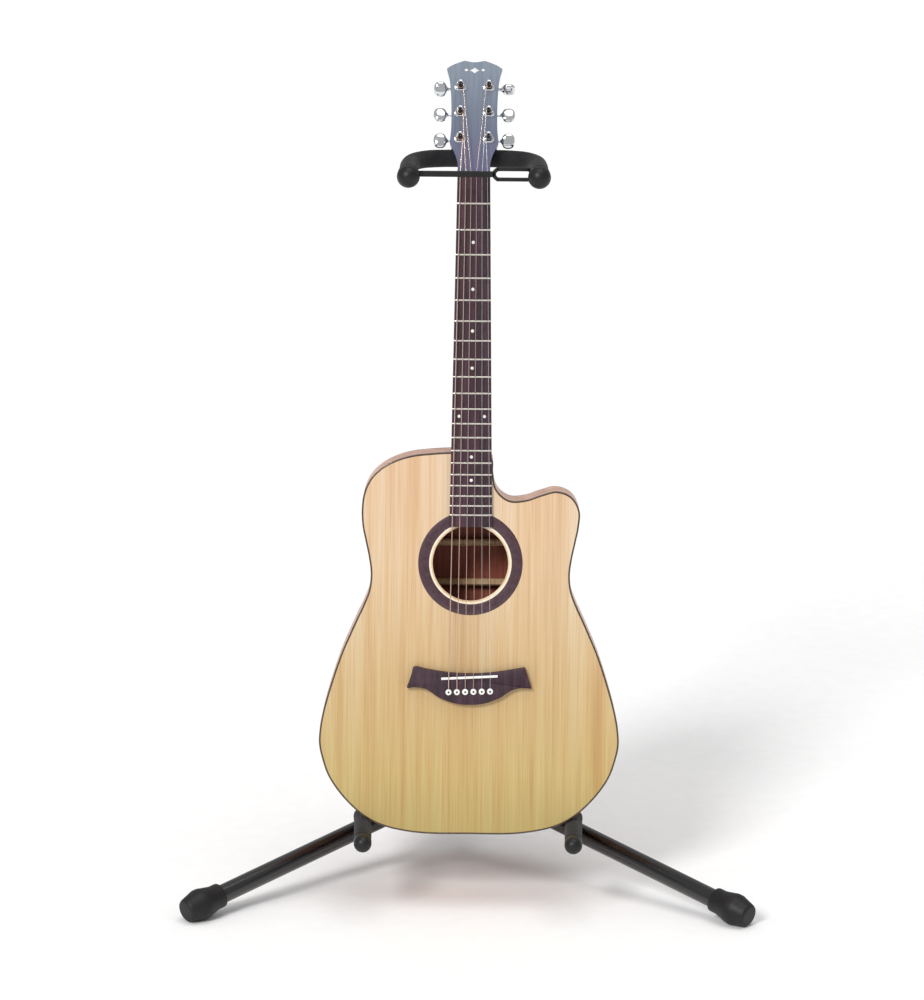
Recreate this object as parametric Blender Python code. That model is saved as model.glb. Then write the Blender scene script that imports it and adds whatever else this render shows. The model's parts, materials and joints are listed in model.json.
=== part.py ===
"""A cutaway acoustic guitar standing in a folding tubular guitar stand.

Every length is in metres, +Z is up and the soundboard faces -Y.  The origin is on the floor, under
the middle of the whole object.  The guitar is drawn in its own frame (X across, Y into the body,
Z up the neck, with the soundboard's face at Y = 0 and the tail at Z = 0) and leaned back with it.
"""
import math

import bpy
from mathutils import Matrix, Vector

MM = 0.001
GAP = 0.3 * MM
FACET_ROOM = 1.045                    # a bore is this much wider, so its flats clear a round part

# ---- stand: driving dimensions ------------------------------------------------------------------
HUB_Y = -82 * MM                      # puts the origin under the middle of the object
HUB_HEIGHT = 103 * MM                 # height at which the three leg lines meet the shaft
HUB_PROFILE = [(22, 76), (24, 78), (24, 116), (21, 120)]      # millimetres: radius, height
FORK_SIZE = (31 * MM, 33 * MM, 27 * MM)
FORK_REACH = 31 * MM
FORK_HEIGHT = 98 * MM
SLOT_SIZE = (15.8 * MM, 50 * MM, 70 * MM)
SLOT_REACH = 45.5 * MM
LEG_REACH = 458 * MM                  # shaft to the thick of the foot, level
LEG_TURNS = {"left": -50.0, "right": 50.0, "rear": 180.0}     # degrees from straight ahead
LEG_RADIUS = 12.5 * MM
TUBE_WALL = 1.2 * MM
LEG_PIVOT_REACH = 34 * MM
FOOT_RADIUS = 21 * MM
FOOT_FLAT = 0.7 * MM                  # depth of the flat moulded under each foot
PIN_RADIUS = 3 * MM
TANG_SIZE = (15 * MM, 42 * MM, 20 * MM)
PIN_HALF_LENGTH = 17.5 * MM
LEG_TUBE_START = 24 * MM              # from the hinge pin to where the round tube starts
FOOT_COVER = 6 * MM                   # how far the tube's end stops short of the foot's middle
FOOT_PROFILE = [(15.5, -33), (16.5, -32), (16.5, -20), (20.2, -12), (21, -4), (21, 6),
                (19.6, 18), (15.5, 25), (13.5, 26)]
LOWER_TUBE_RADIUS = 12.5 * MM
LOWER_TUBE_BORE = 10 * MM
LOWER_TUBE_LENGTH = 420 * MM
LOWER_TUBE_START = -20 * MM
UPPER_TUBE_RADIUS = 9.5 * MM
UPPER_TUBE_OVERLAP = 170 * MM         # length of the upper tube inside the lower one
CLUTCH_PROFILE = [(15, -34), (17, -30), (17, 6), (14, 10)]    # from the lower tube's top
KNOB_DROP = 13 * MM
KNOB_REACH = 27 * MM
KNOB_PROFILE = [(6, 0), (16, 3), (18, 7), (18, 15), (15, 19), (4, 20)]
BOSS_PROFILE = [(8, 8), (8, 26)]
BRACKET_PROFILE = [(19, 20), (20.5, 22), (20.5, 46), (19, 48)]
BRACKET_NOSE = (36 * MM, 30 * MM, 24 * MM)
CRADLE_TUBE_RADIUS = 8 * MM
CRADLE_FOAM_RADIUS = 11.5 * MM
CRADLE_FOAM_START_Y = -138 * MM
# Right half of the cradle's tube in millimetres, from its bracket out and forward to its tip.
CRADLE_HALF = [(0, -25, 136), (28, -25, 136), (78, -32, 132), (118, -54, 118), (138, -88, 102),
               (141.5, -126, 94.2), (140, -180, 98.9), (139, -232, 108.2), (138.5, -265, 109.6),
               (138, -298, 107.5)]
YOKE_TUBE_RADIUS = 5 * MM
YOKE_FOAM_RADIUS = 11.5 * MM
YOKE_HEIGHT = 969 * MM
YOKE_BACK_Y = -38 * MM                # yoke's back rail, measured from the hub
YOKE_HALF_SPAN = 85 * MM
YOKE_ARM = 107 * MM
YOKE_FOAM_START_X = 13.4 * MM
YOKE_FOAM_SHORT = 17 * MM             # bare length between the foam and the arm's end
YOKE_SOCKET_PROFILE = [(13, -40), (14, -38), (14, 10), (11, 13)]
YOKE_SOCKET_SEAT = 12 * MM            # how far below the yoke the upper tube ends
BALL_RADIUS = 13 * MM
BALL_FORWARD = 6 * MM
STRAP_FORWARD = 11.5 * MM             # strap's plane, measured back from the arm's end
STRAP_THICKNESS = 3 * MM
STRAP_RING_RADIUS = 12.5 * MM
STRAP_LOOP_CENTRE = 144 * MM
STRAP_SLOT_CENTRE = 141 * MM

# ---- guitar: driving dimensions -----------------------------------------------------------------
GUITAR_LEAN = math.radians(11)
GUITAR_Y = -240 * MM                  # tail edge of the soundboard, measured from the hub
GUITAR_Z = 102.4 * MM
NUT_V = 868 * MM
BODY_LENGTH = 505 * MM
TAIL_DEPTH = 114 * MM
NECK_DEPTH = 98 * MM
PLATE = 2.8 * MM
SIDE_WALL = 4 * MM
BINDING_WIDTH = 2.3 * MM
BINDING_DEPTH = 6 * MM
SOUND_HOLE_V = 359 * MM
SOUND_HOLE_RADIUS = 49.5 * MM
BOARD_END_V = 410 * MM
BOARD_THICKNESS = 6 * MM
NUT_WIDTH = 43 * MM
BOARD_END_WIDTH = 56 * MM
HEAD_TILT = math.radians(14)
HEAD_THICKNESS = 15 * MM
HEAD_BASE = (0, -0.5 * MM, NUT_V + 4.5 * MM)
# Headstock and neck sections in millimetres.
HEAD_WIDTHS = [(2, 21.6), (15, 21.4), (27, 26), (39, 31.8), (54, 30.5), (78, 30.2), (102, 30.7),
               (123, 32.6), (139.5, 36.5), (145.5, 26), (149.5, 14)]           # height, half width
NECK_SECTIONS = [(0, 88, 0.9), (8, 82, 0.86), (18, 60, 0.9), (30, 38, 0.96), (46, 24, 1),
                 (80, 20.5, 1), (340, 16, 1)]                 # height, depth, share of the width
SADDLE_V = 211 * MM
SADDLE_SLANT = math.radians(3)        # the bass end lies further from the nut
PIN_V = 190 * MM
STRING_RADII = (0.66, 0.54, 0.42, 0.33, 0.25, 0.25)           # millimetres, bass to treble
NUT_PITCH = 7.1 * MM
SADDLE_PITCH = 10.9 * MM
POST_RADIUS = 3 * MM
POST_HEIGHTS = (46, 80.7, 115.4)                              # millimetres up the headstock
POST_OFFSET = 18.6 * MM
POST_CLEARANCE = 1 * MM
TUNER_PLATE_WIDTH = 15 * MM
TUNER_PLATE_DEPTH = 8 * MM
BUTTON_PROFILE = [(2.2, 0.3), (2.2, 9), (3.5, 9.8), (5.5, 12), (8, 15.5), (8.5, 20), (7.2, 25),
                  (3, 27.5)]
BUTTON_BLADE_START = 9.5 * MM
BUTTON_BLADE_WIDEN = 1.18
BUTTON_BLADE_FLATTEN = 0.5

# Body outline in millimetres.  The lower bout runs up from the tail on the cutaway side and is
# mirrored; the bass shoulder runs up to the neck, and the cutaway runs from the neck back down.
LOWER_BOUT = [(66, 1), (118, 12), (153, 35), (183, 72), (196, 110), (197, 135), (190, 172),
              (171, 233), (151, 280), (134.5, 318), (131, 345)]
BASS_SHOULDER = [(-134.5, 370), (-142.5, 408), (-143, 434), (-138, 458), (-122, 480.5),
                 (-89, 497.5), (-50, 503.5), (-18, 505), (12, 505)]
CUTAWAY = [(26, 500), (28.5, 480), (31, 463), (37, 451), (46, 444), (58, 440.5), (75, 443.5),
           (92, 449.5), (106, 453.7), (116, 454.2), (126, 451.5), (136, 443.5), (142, 433),
           (143.4, 420), (141, 400), (134.5, 370)]

BRIDGE_THICKNESS = 9 * MM
# Bridge outline, from the tail side's middle, right half, in millimetres from the saddle line.
BRIDGE_HALF = [(0, -38.5), (22, -36), (42, -28), (57, -18.5), (66, -16), (82, -16.5), (72, 11.5),
               (44, 7), (18, 3.5), (0, 3)]


# ---- materials ----------------------------------------------------------------------------------
def material(name, colour, roughness, metallic=0.0):
    """One Principled material, its colour given as linear red, green, blue."""
    made = bpy.data.materials.new(name)
    made.use_nodes = True
    shader = made.node_tree.nodes["Principled BSDF"]
    shader.inputs["Base Color"].default_value = (*colour, 1.0)
    shader.inputs["Roughness"].default_value = roughness
    shader.inputs["Metallic"].default_value = metallic
    made.diffuse_color = (*colour, 1.0)
    return made


# ---- shapes: each returns vertices and faces ----------------------------------------------------
def smooth_loop(points, count):
    """A closed Catmull-Rom curve through points in millimetres, as count evenly spaced points."""
    corners = [Vector((x * MM, z * MM)) for x, z in points]
    size = len(corners)
    fine = []
    for index in range(size):
        before, start = corners[index - 1], corners[index]
        end, after = corners[(index + 1) % size], corners[(index + 2) % size]
        for step in range(12):
            t = step / 12
            fine.append(0.5 * (2 * start + (end - before) * t
                               + (2 * before - 5 * start + 4 * end - after) * t ** 2
                               + (3 * start - before - 3 * end + after) * t ** 3))
    lengths = [0.0]
    for index in range(len(fine)):
        lengths.append(lengths[-1] + (fine[(index + 1) % len(fine)] - fine[index]).length)
    loop = []
    place = 0
    for index in range(count):
        target = lengths[-1] * index / count
        while lengths[place + 1] < target:
            place += 1
        share = (target - lengths[place]) / (lengths[place + 1] - lengths[place])
        loop.append(fine[place].lerp(fine[(place + 1) % len(fine)], share))
    return loop


def inset(loop, distance):
    """A counter-clockwise loop moved inwards by a distance, each point along its own normal."""
    moved = []
    for index, point in enumerate(loop):
        along = loop[(index + 1) % len(loop)] - loop[index - 1]
        moved.append(point + Vector((-along.y, along.x)).normalized() * distance)
    return moved


def body_depth(v):
    """How deep the body is at a height v above its tail: it tapers towards the neck."""
    return TAIL_DEPTH + (NECK_DEPTH - TAIL_DEPTH) * v / BODY_LENGTH


def plate(loop, front, back):
    """A loop in X and Z given thickness along Y; front and back are functions of Z."""
    count = len(loop)
    verts = [(p.x, front(p.y), p.y) for p in loop] + [(p.x, back(p.y), p.y) for p in loop]
    faces = [tuple(range(count)), tuple(reversed(range(count, 2 * count)))]
    for i in range(count):
        j = (i + 1) % count
        faces.append((i, i + count, j + count, j))
    return verts, faces


def band(outer, inner, front, back):
    """A wall between two loops of equal count, with its front and back as functions of Z."""
    count = len(outer)
    verts = []
    for loop, depth in ((outer, front), (inner, front), (inner, back), (outer, back)):
        verts += [(p.x, depth(p.y), p.y) for p in loop]
    faces = []
    for i in range(count):
        j = (i + 1) % count
        for ring in range(4):
            a, b = ring * count, ((ring + 1) % 4) * count
            faces.append((i + a, j + a, j + b, i + b))
    return verts, faces


def turned(profile, steps=16):
    """A profile of (radius, height) turned about Z, capped where it starts and ends."""
    verts = []
    for radius, height in profile:
        for step in range(steps):
            turn = 2 * math.pi * step / steps
            verts.append((radius * math.cos(turn), radius * math.sin(turn), height))
    faces = [tuple(reversed(range(steps))), tuple(range(len(verts) - steps, len(verts)))]
    for ring in range(len(profile) - 1):
        for i in range(steps):
            j = (i + 1) % steps
            low, high = ring * steps, (ring + 1) * steps
            faces.append((low + i, low + j, high + j, high + i))
    return verts, faces


def turned_mm(profile, steps, lift=0.0):
    """A profile given in millimetres turned about Z, lifted by a length in metres."""
    return turned([(radius * MM, height * MM + lift) for radius, height in profile], steps)


def socket_of(radius, low, high):
    """A cutter for the round bore that a part of some radius sits in."""
    wide = radius * FACET_ROOM + GAP
    return turned([(wide, low), (wide, high)], 12)


def swept(path, radius, bore=0.0, sides=12):
    """A round section carried along a path, solid, or hollow when it has a bore."""
    points = [Vector(point) for point in path]
    tangents = []
    for index in range(len(points)):
        before, after = points[max(index - 1, 0)], points[min(index + 1, len(points) - 1)]
        tangents.append((after - before).normalized())
    across = tangents[0].orthogonal().normalized()
    rings = {radius: [], bore: []}
    for point, tangent in zip(points, tangents):
        across = (across - tangent * across.dot(tangent)).normalized()
        other = tangent.cross(across)
        for size in rings:
            for side in range(sides):
                turn = 2 * math.pi * side / sides
                rings[size].append(point + size * (math.cos(turn) * across + math.sin(turn) * other))
    verts = rings[radius] + (rings[bore] if bore else [])
    total = len(rings[radius])
    faces = []
    for ring in range(len(points) - 1):
        for i in range(sides):
            a, b = ring * sides + i, ring * sides + (i + 1) % sides
            faces.append((a, b, b + sides, a + sides))
            if bore:
                faces.append((total + a, total + a + sides, total + b + sides, total + b))
    last = total - sides
    if not bore:
        return verts, faces + [tuple(reversed(range(sides))), tuple(range(last, total))]
    for i in range(sides):
        j = (i + 1) % sides
        faces.append((j, i, total + i, total + j))
        faces.append((last + i, last + j, total + last + j, total + last + i))
    return verts, faces


def smooth_path(points, pieces=5):
    """An open Catmull-Rom curve through points in millimetres."""
    corners = [Vector(point) * MM for point in points]
    ends = [2 * corners[0] - corners[1]] + corners + [2 * corners[-1] - corners[-2]]
    path = []
    for index in range(1, len(ends) - 2):
        before, start, end, after = ends[index - 1:index + 3]
        for step in range(pieces):
            t = step / pieces
            path.append(0.5 * (2 * start + (end - before) * t
                               + (2 * before - 5 * start + 4 * end - after) * t ** 2
                               + (3 * start - before - 3 * end + after) * t ** 3))
    return path + [corners[-1]]


def lofted(sections):
    """Closed sections of equal count joined in order, the first and last capped."""
    count = len(sections[0])
    verts = [point for section in sections for point in section]
    faces = [tuple(reversed(range(count))), tuple(range(len(verts) - count, len(verts)))]
    for ring in range(len(sections) - 1):
        for i in range(count):
            j = (i + 1) % count
            low, high = ring * count, (ring + 1) * count
            faces.append((low + i, low + j, high + j, high + i))
    return verts, faces


def block(size, centre=(0, 0, 0)):
    """A box of a size about a centre."""
    half = Vector(size) / 2
    corner = [(-1, -1), (1, -1), (1, 1), (-1, 1)]
    sections = [[Vector(centre) + Vector((x * half.x, y * half.y, z * half.z)) for x, y in corner]
                for z in (-1, 1)]
    return lofted(sections)


# ---- objects ------------------------------------------------------------------------------------
def frame(name, location, rotation=(0, 0, 0), parent=None):
    """An empty that carries pieces."""
    empty = bpy.data.objects.new(name, None)
    bpy.context.collection.objects.link(empty)
    empty.location = location
    empty.rotation_euler = rotation
    empty.parent = parent
    return empty


def piece(name, shape, made_of, parent=None, location=(0, 0, 0), rotation=(0, 0, 0)):
    """One named solid with its material, placed under a parent."""
    mesh = bpy.data.meshes.new(name)
    mesh.from_pydata([tuple(point) for point in shape[0]], [], shape[1])
    mesh.validate()
    mesh.update()
    mesh.shade_smooth()
    mesh.set_sharp_from_angle(angle=math.radians(35))
    made = bpy.data.objects.new(name, mesh)
    bpy.context.collection.objects.link(made)
    made.data.materials.append(made_of)
    made.location = location
    made.rotation_euler = rotation
    made.parent = parent
    return made


def carve(target, name, shape, parent, location=(0, 0, 0), rotation=(0, 0, 0), how="DIFFERENCE"):
    """Cuts a shape out of a piece, or joins it on, with a live Boolean."""
    tool = piece(name, shape, target.data.materials[0], parent, location, rotation)
    tool.hide_render = True
    tool.display_type = "WIRE"
    boolean = target.modifiers.new(name, "BOOLEAN")
    boolean.operation = how
    boolean.solver = "EXACT"
    boolean.object = tool


def string_curve(name, points, radius, made_of, parent):
    """A taut string: a bevelled curve with filled caps through its real bearing points."""
    curve = bpy.data.curves.new(name, "CURVE")
    curve.dimensions = "3D"
    curve.bevel_depth = radius
    curve.bevel_resolution = 1
    curve.use_fill_caps = True
    curve.materials.append(made_of)
    spline = curve.splines.new("POLY")
    spline.points.add(len(points) - 1)
    for point, place in zip(spline.points, points):
        point.co = (*place, 1.0)
    made = bpy.data.objects.new(name, curve)
    bpy.context.collection.objects.link(made)
    made.parent = parent


# ---- the stand ----------------------------------------------------------------------------------
QUARTER = math.radians(90)
LEG_DROP = math.atan2(HUB_HEIGHT - FOOT_RADIUS + FOOT_FLAT, LEG_REACH)
LEG_PIVOT_HEIGHT = HUB_HEIGHT - LEG_PIVOT_REACH * math.tan(LEG_DROP)


def leg(side, turn, stand, steel, rubber):
    """A leg on its own hinge: a tube with a flat tang, its pin in the hub and its rubber foot."""
    turned_frame = frame(f"leg_frame_{side}", (0, 0, 0), (0, 0, math.radians(turn)), stand)
    pivot = frame(f"leg_pivot_{side}", (0, -LEG_PIVOT_REACH, LEG_PIVOT_HEIGHT), (LEG_DROP, 0, 0),
                  turned_frame)
    length = (LEG_REACH - LEG_PIVOT_REACH) / math.cos(LEG_DROP)
    ends = [(0, -LEG_TUBE_START, 0), (0, FOOT_COVER - length, 0)]
    tube = piece(f"leg_{side}", swept(ends, LEG_RADIUS, LEG_RADIUS - TUBE_WALL), steel, pivot)
    carve(tube, f"leg_tang_{side}", block(TANG_SIZE, (0, -12 * MM, 0)), pivot, how="UNION")
    carve(tube, f"leg_pin_hole_{side}", socket_of(PIN_RADIUS, -20 * MM, 20 * MM), pivot,
          rotation=(0, QUARTER, 0))
    pin = turned([(PIN_RADIUS, -PIN_HALF_LENGTH), (PIN_RADIUS, PIN_HALF_LENGTH)], 12)
    piece(f"leg_pin_{side}", pin, steel, pivot, rotation=(0, QUARTER, 0))
    foot = piece(f"foot_{side}", turned_mm(FOOT_PROFILE, 20), rubber, pivot, (0, -length, 0),
                 (QUARTER, 0, 0))
    carve(foot, f"foot_socket_{side}", socket_of(LEG_RADIUS, -40 * MM, -FOOT_COVER + GAP), pivot,
          (0, -length, 0), (QUARTER, 0, 0))
    carve(foot, f"floor_cut_{side}", block((0.2, 0.2, 0.1), (0, -LEG_REACH, -0.05)), turned_frame)


def stand_base(stand, shaft, steel, plastic):
    """The hub with its three forks, the lower tube and the bracket that carries the cradle."""
    hub = piece("leg_hub", turned_mm(HUB_PROFILE, 24), plastic, stand)
    for side, turn in LEG_TURNS.items():
        fork = block(FORK_SIZE, (0, -FORK_REACH, FORK_HEIGHT))
        carve(hub, f"hub_fork_{side}", fork, stand, rotation=(0, 0, math.radians(turn)), how="UNION")
    for side, turn in LEG_TURNS.items():
        spin = math.radians(turn)
        slot = block(SLOT_SIZE, (0, -SLOT_REACH, FORK_HEIGHT))
        carve(hub, f"hub_slot_{side}", slot, stand, rotation=(0, 0, spin))
        spot = Matrix.Rotation(spin, 4, "Z") @ Vector((0, -LEG_PIVOT_REACH, LEG_PIVOT_HEIGHT))
        carve(hub, f"hub_pin_hole_{side}", socket_of(PIN_RADIUS, -25 * MM, 25 * MM), stand, spot,
              (0, QUARTER, spin))
    bore = socket_of(LOWER_TUBE_RADIUS, -60 * MM, 120 * MM)
    carve(hub, "hub_bore", bore, shaft)
    ends = [(0, 0, LOWER_TUBE_START), (0, 0, LOWER_TUBE_LENGTH)]
    piece("lower_tube", swept(ends, LOWER_TUBE_RADIUS, LOWER_TUBE_BORE, 16), steel, shaft)
    bracket = piece("cradle_bracket", turned_mm(BRACKET_PROFILE, 24), plastic, shaft)
    rail = Vector(CRADLE_HALF[0]) * MM
    nose = block(BRACKET_NOSE, (0, rail.y - 1 * MM, rail.z))
    carve(bracket, "bracket_nose", nose, stand, how="UNION")
    carve(bracket, "bracket_bore", bore, shaft)
    channel = socket_of(CRADLE_TUBE_RADIUS + GAP, -40 * MM, 40 * MM)
    carve(bracket, "bracket_channel", channel, stand, rail, (0, QUARTER, 0))


def mirrored(half):
    """A right half path, listed from the middle out, completed on the left."""
    return [(-x, y, z) for x, y, z in reversed(half)] + half[1:]


def cradle(stand, steel, foam, plastic):
    """The bent cradle tube with a foam sleeve and a cap on each arm."""
    path = smooth_path(mirrored(CRADLE_HALF), 3)
    piece("cradle_tube", swept(path, CRADLE_TUBE_RADIUS, CRADLE_TUBE_RADIUS - TUBE_WALL, 10), steel,
          stand)
    bore = CRADLE_TUBE_RADIUS * FACET_ROOM + GAP
    for side, sign in (("left", -1), ("right", 1)):
        arm = [Vector((sign * p.x, p.y, p.z)) for p in path if p.x > 0 and p.y < CRADLE_FOAM_START_Y]
        piece(f"cradle_foam_{side}", swept(arm[:-1], CRADLE_FOAM_RADIUS, bore, 12), foam, stand)
        inner, tip = arm[-2], arm[-1]
        aim = (tip - inner).to_track_quat("Z", "Y").to_euler()
        end = (tip - inner).length / MM
        profile = [(10.6, 0.4), (11.5, 1.4), (11.5, end + 1), (10, end + 6), (6.5, end + 9.5),
                   (2.5, end + 11)]
        cap = piece(f"cradle_cap_{side}", turned_mm(profile, 16), plastic, stand, inner, aim)
        socket = socket_of(CRADLE_TUBE_RADIUS, -10 * MM, end * MM + GAP)
        carve(cap, f"cradle_cap_socket_{side}", socket, stand, inner, aim)


def mast(stand, shaft, steel, plastic):
    """The clutch and knob on the lower tube, and the sliding upper tube with the yoke's socket."""
    top = LOWER_TUBE_LENGTH
    backwards = (-QUARTER, 0, 0)
    clutch = piece("height_clutch", turned_mm(CLUTCH_PROFILE, 20, top), plastic, shaft)
    carve(clutch, "clutch_boss", turned_mm(BOSS_PROFILE, 14), shaft, (0, 0, top - KNOB_DROP), backwards,
          "UNION")
    carve(clutch, "clutch_bore", socket_of(LOWER_TUBE_RADIUS, top - 50 * MM, top + GAP), shaft)
    carve(clutch, "clutch_neck", socket_of(UPPER_TUBE_RADIUS, top - 5 * MM, top + 20 * MM), shaft)
    piece("height_knob", turned_mm(KNOB_PROFILE, 18), plastic, shaft, (0, KNOB_REACH, top - KNOB_DROP),
          backwards)
    yoke_v = YOKE_HEIGHT - HUB_HEIGHT
    seat = yoke_v - YOKE_SOCKET_SEAT
    ends = [(0, 0, top - UPPER_TUBE_OVERLAP), (0, 0, seat)]
    piece("upper_tube", swept(ends, UPPER_TUBE_RADIUS, UPPER_TUBE_RADIUS - TUBE_WALL, 16), steel, shaft)
    socket = piece("yoke_socket", turned_mm(YOKE_SOCKET_PROFILE, 20, yoke_v), plastic, shaft)
    nose_back = -8 * MM
    nose_front = YOKE_BACK_Y - 8 * MM
    nose = block((26 * MM, nose_back - nose_front, 18 * MM), (0, (nose_back + nose_front) / 2, YOKE_HEIGHT))
    carve(socket, "socket_nose", nose, stand, how="UNION")
    carve(socket, "socket_bore", socket_of(UPPER_TUBE_RADIUS, yoke_v - 60 * MM, seat + GAP), shaft)
    channel = socket_of(YOKE_TUBE_RADIUS, -20 * MM, 20 * MM)
    carve(socket, "socket_channel", channel, stand, (0, YOKE_BACK_Y, YOKE_HEIGHT), (0, QUARTER, 0))


def yoke(stand, steel, plastic, foam):
    """The padded U behind the neck and the balls on its ends."""
    z = YOKE_HEIGHT / MM
    back = YOKE_BACK_Y / MM
    span = YOKE_HALF_SPAN / MM
    front = back - YOKE_ARM / MM
    half = [(0, back, z), (34, back, z), (62, back - 6, z), (79, back - 24, z),
            (span, back - 52, z), (span, front, z)]
    path = smooth_path(mirrored(half), 3)
    piece("yoke_tube", swept(path, YOKE_TUBE_RADIUS, sides=8), steel, stand)
    foam_end = front * MM + YOKE_FOAM_SHORT
    bore = YOKE_TUBE_RADIUS * FACET_ROOM + 2 * GAP
    ball_arc = [(BALL_RADIUS / MM * math.cos(math.radians(a)),
                 BALL_RADIUS / MM * math.sin(math.radians(a)) + BALL_FORWARD / MM)
                for a in (-42, -18, 8, 34, 60, 82)]
    ball = turned_mm([(9, -8.5), (10.5, -8), (10.5, -4.5)] + ball_arc, 18)
    for side, sign in (("left", -1), ("right", 1)):
        padded = [Vector((sign * p.x, p.y, p.z)) for p in path
                  if p.x > YOKE_FOAM_START_X and p.y > foam_end]
        padded[0] = Vector((sign * YOKE_FOAM_START_X, YOKE_BACK_Y, YOKE_HEIGHT))
        piece(f"yoke_foam_{side}", swept(padded, YOKE_FOAM_RADIUS, bore, 12), foam, stand)
        end = (sign * YOKE_HALF_SPAN, front * MM, YOKE_HEIGHT)
        cap = piece(f"yoke_cap_{side}", ball, plastic, stand, end, (QUARTER, 0, 0))
        socket = socket_of(YOKE_TUBE_RADIUS, -30 * MM, GAP)
        carve(cap, f"yoke_cap_socket_{side}", socket, stand, end, (QUARTER, 0, 0))


def neck_strap(stand, rubber):
    """The rubber strap across the yoke: a bar, a ring on each arm and a slotted loop."""
    place = (-YOKE_HALF_SPAN, YOKE_BACK_Y - YOKE_ARM + STRAP_FORWARD, YOKE_HEIGHT)
    holder = frame("strap_pivot", place, parent=stand)
    bar = block((148 * MM, STRAP_THICKNESS, 8 * MM), (86 * MM, 0, 0))
    strap = piece("neck_strap", bar, rubber, holder)
    right = (2 * YOKE_HALF_SPAN, 0, 0)
    upright = (QUARTER, 0, 0)
    half = STRAP_THICKNESS / 2
    disc = turned([(STRAP_RING_RADIUS, -half), (STRAP_RING_RADIUS, half)], 20)
    hole = socket_of(YOKE_TUBE_RADIUS, -5 * MM, 5 * MM)
    loop = block((46 * MM, STRAP_THICKNESS, 21 * MM), (STRAP_LOOP_CENTRE, 0, 0))
    slot = block((28 * MM, 8 * MM, 8 * MM), (STRAP_SLOT_CENTRE, 0, 0))
    carve(strap, "strap_ring_left", disc, holder, rotation=upright, how="UNION")
    carve(strap, "strap_loop", loop, holder, how="UNION")
    carve(strap, "strap_ring_right", disc, holder, right, upright, "UNION")
    carve(strap, "strap_slot", slot, holder)
    carve(strap, "strap_hole_left", hole, holder, rotation=upright)
    carve(strap, "strap_hole_right", hole, holder, right, upright)


# ---- the guitar ---------------------------------------------------------------------------------
def body(guitar, spruce, mahogany, dark, lining):
    """Soundboard with its hole, binding, sides, back, blocks and bracing."""
    lower_left = [(-x, z) for x, z in reversed(LOWER_BOUT)]
    loop = smooth_loop([(0, 0)] + LOWER_BOUT + CUTAWAY[::-1] + BASS_SHOULDER[::-1] + lower_left, 72)
    inner = inset(loop, BINDING_WIDTH + GAP)
    middle = Vector((0, SOUND_HOLE_V))
    hole = [middle + SOUND_HOLE_RADIUS * (point - middle).normalized() for point in inner]
    piece("soundboard", band(inner, hole, lambda v: 0.0, lambda v: PLATE), spruce, guitar)
    piece("binding", band(loop, inset(loop, BINDING_WIDTH), lambda v: 0.0, lambda v: BINDING_DEPTH),
          dark, guitar)
    piece("sides", band(loop, inset(loop, SIDE_WALL), lambda v: BINDING_DEPTH + GAP,
                        lambda v: body_depth(v) - PLATE - GAP), mahogany, guitar)
    piece("back_plate", plate(loop, lambda v: body_depth(v) - PLATE, body_depth), mahogany, guitar)
    clear = SIDE_WALL + GAP
    near = PLATE + GAP
    deep = NECK_DEPTH - PLATE - 2 * GAP
    block_v = BODY_LENGTH - clear - 22 * MM
    piece("neck_block", block((40 * MM, deep - near, 40 * MM), (-8 * MM, (deep + near) / 2, block_v)),
          lining, guitar)
    deep = TAIL_DEPTH - PLATE - 2 * GAP - 1.5 * MM
    block_v = clear + 10.4 * MM
    piece("tail_block", block((70 * MM, deep - near, 18 * MM), (0, (deep + near) / 2, block_v)),
          lining, guitar)
    brace_y = PLATE + GAP + 6 * MM
    crossing = 266 * MM
    bar = block((8 * MM, 12 * MM, 300 * MM))
    splay = math.radians(42)
    x_brace = piece("x_brace", bar, lining, guitar, (0, brace_y, crossing), (0, splay, 0))
    carve(x_brace, "x_brace_other", bar, guitar, (0, brace_y, crossing), (0, -splay, 0), "UNION")
    slope = math.atan2(TAIL_DEPTH - NECK_DEPTH, BODY_LENGTH)
    mid = 280 * MM
    strip_y = body_depth(mid) - PLATE - 1.2 * MM
    ladder = frame("back_brace_frame", (0, strip_y, mid), (slope, 0, 0), guitar)
    strip = piece("back_bracing", block((18 * MM, 1.6 * MM, 380 * MM), (0, 0, -20 * MM)), lining, ladder)
    for index, (height, width) in enumerate(((-150, 330), (-65, 300), (38, 235), (110, 235))):
        carve(strip, f"back_rung_{index}", block((width * MM, 13 * MM, 9 * MM), (0, -5.5 * MM, height * MM)),
              ladder, how="UNION")


def neck_section(v, half_width, depth, top=0.0):
    """A D-shaped section at height v: flat on top, rounded behind."""
    arc = [math.radians(a) for a in range(0, 181, 20)]
    return [(half_width * math.cos(a), top + depth * math.sin(a) ** 0.8, v) for a in arc]


def board_half_width(v):
    """Half the fretboard's width at a height v above the tail."""
    share = (NUT_V - v) / (NUT_V - BOARD_END_V)
    return (NUT_WIDTH + (BOARD_END_WIDTH - NUT_WIDTH) * share) / 2


def from_head(point):
    """A point of the headstock's own frame in the guitar's: Z up its face, Y into it."""
    return Vector(HEAD_BASE) + Matrix.Rotation(-HEAD_TILT, 4, "X") @ Vector(point)


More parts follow.
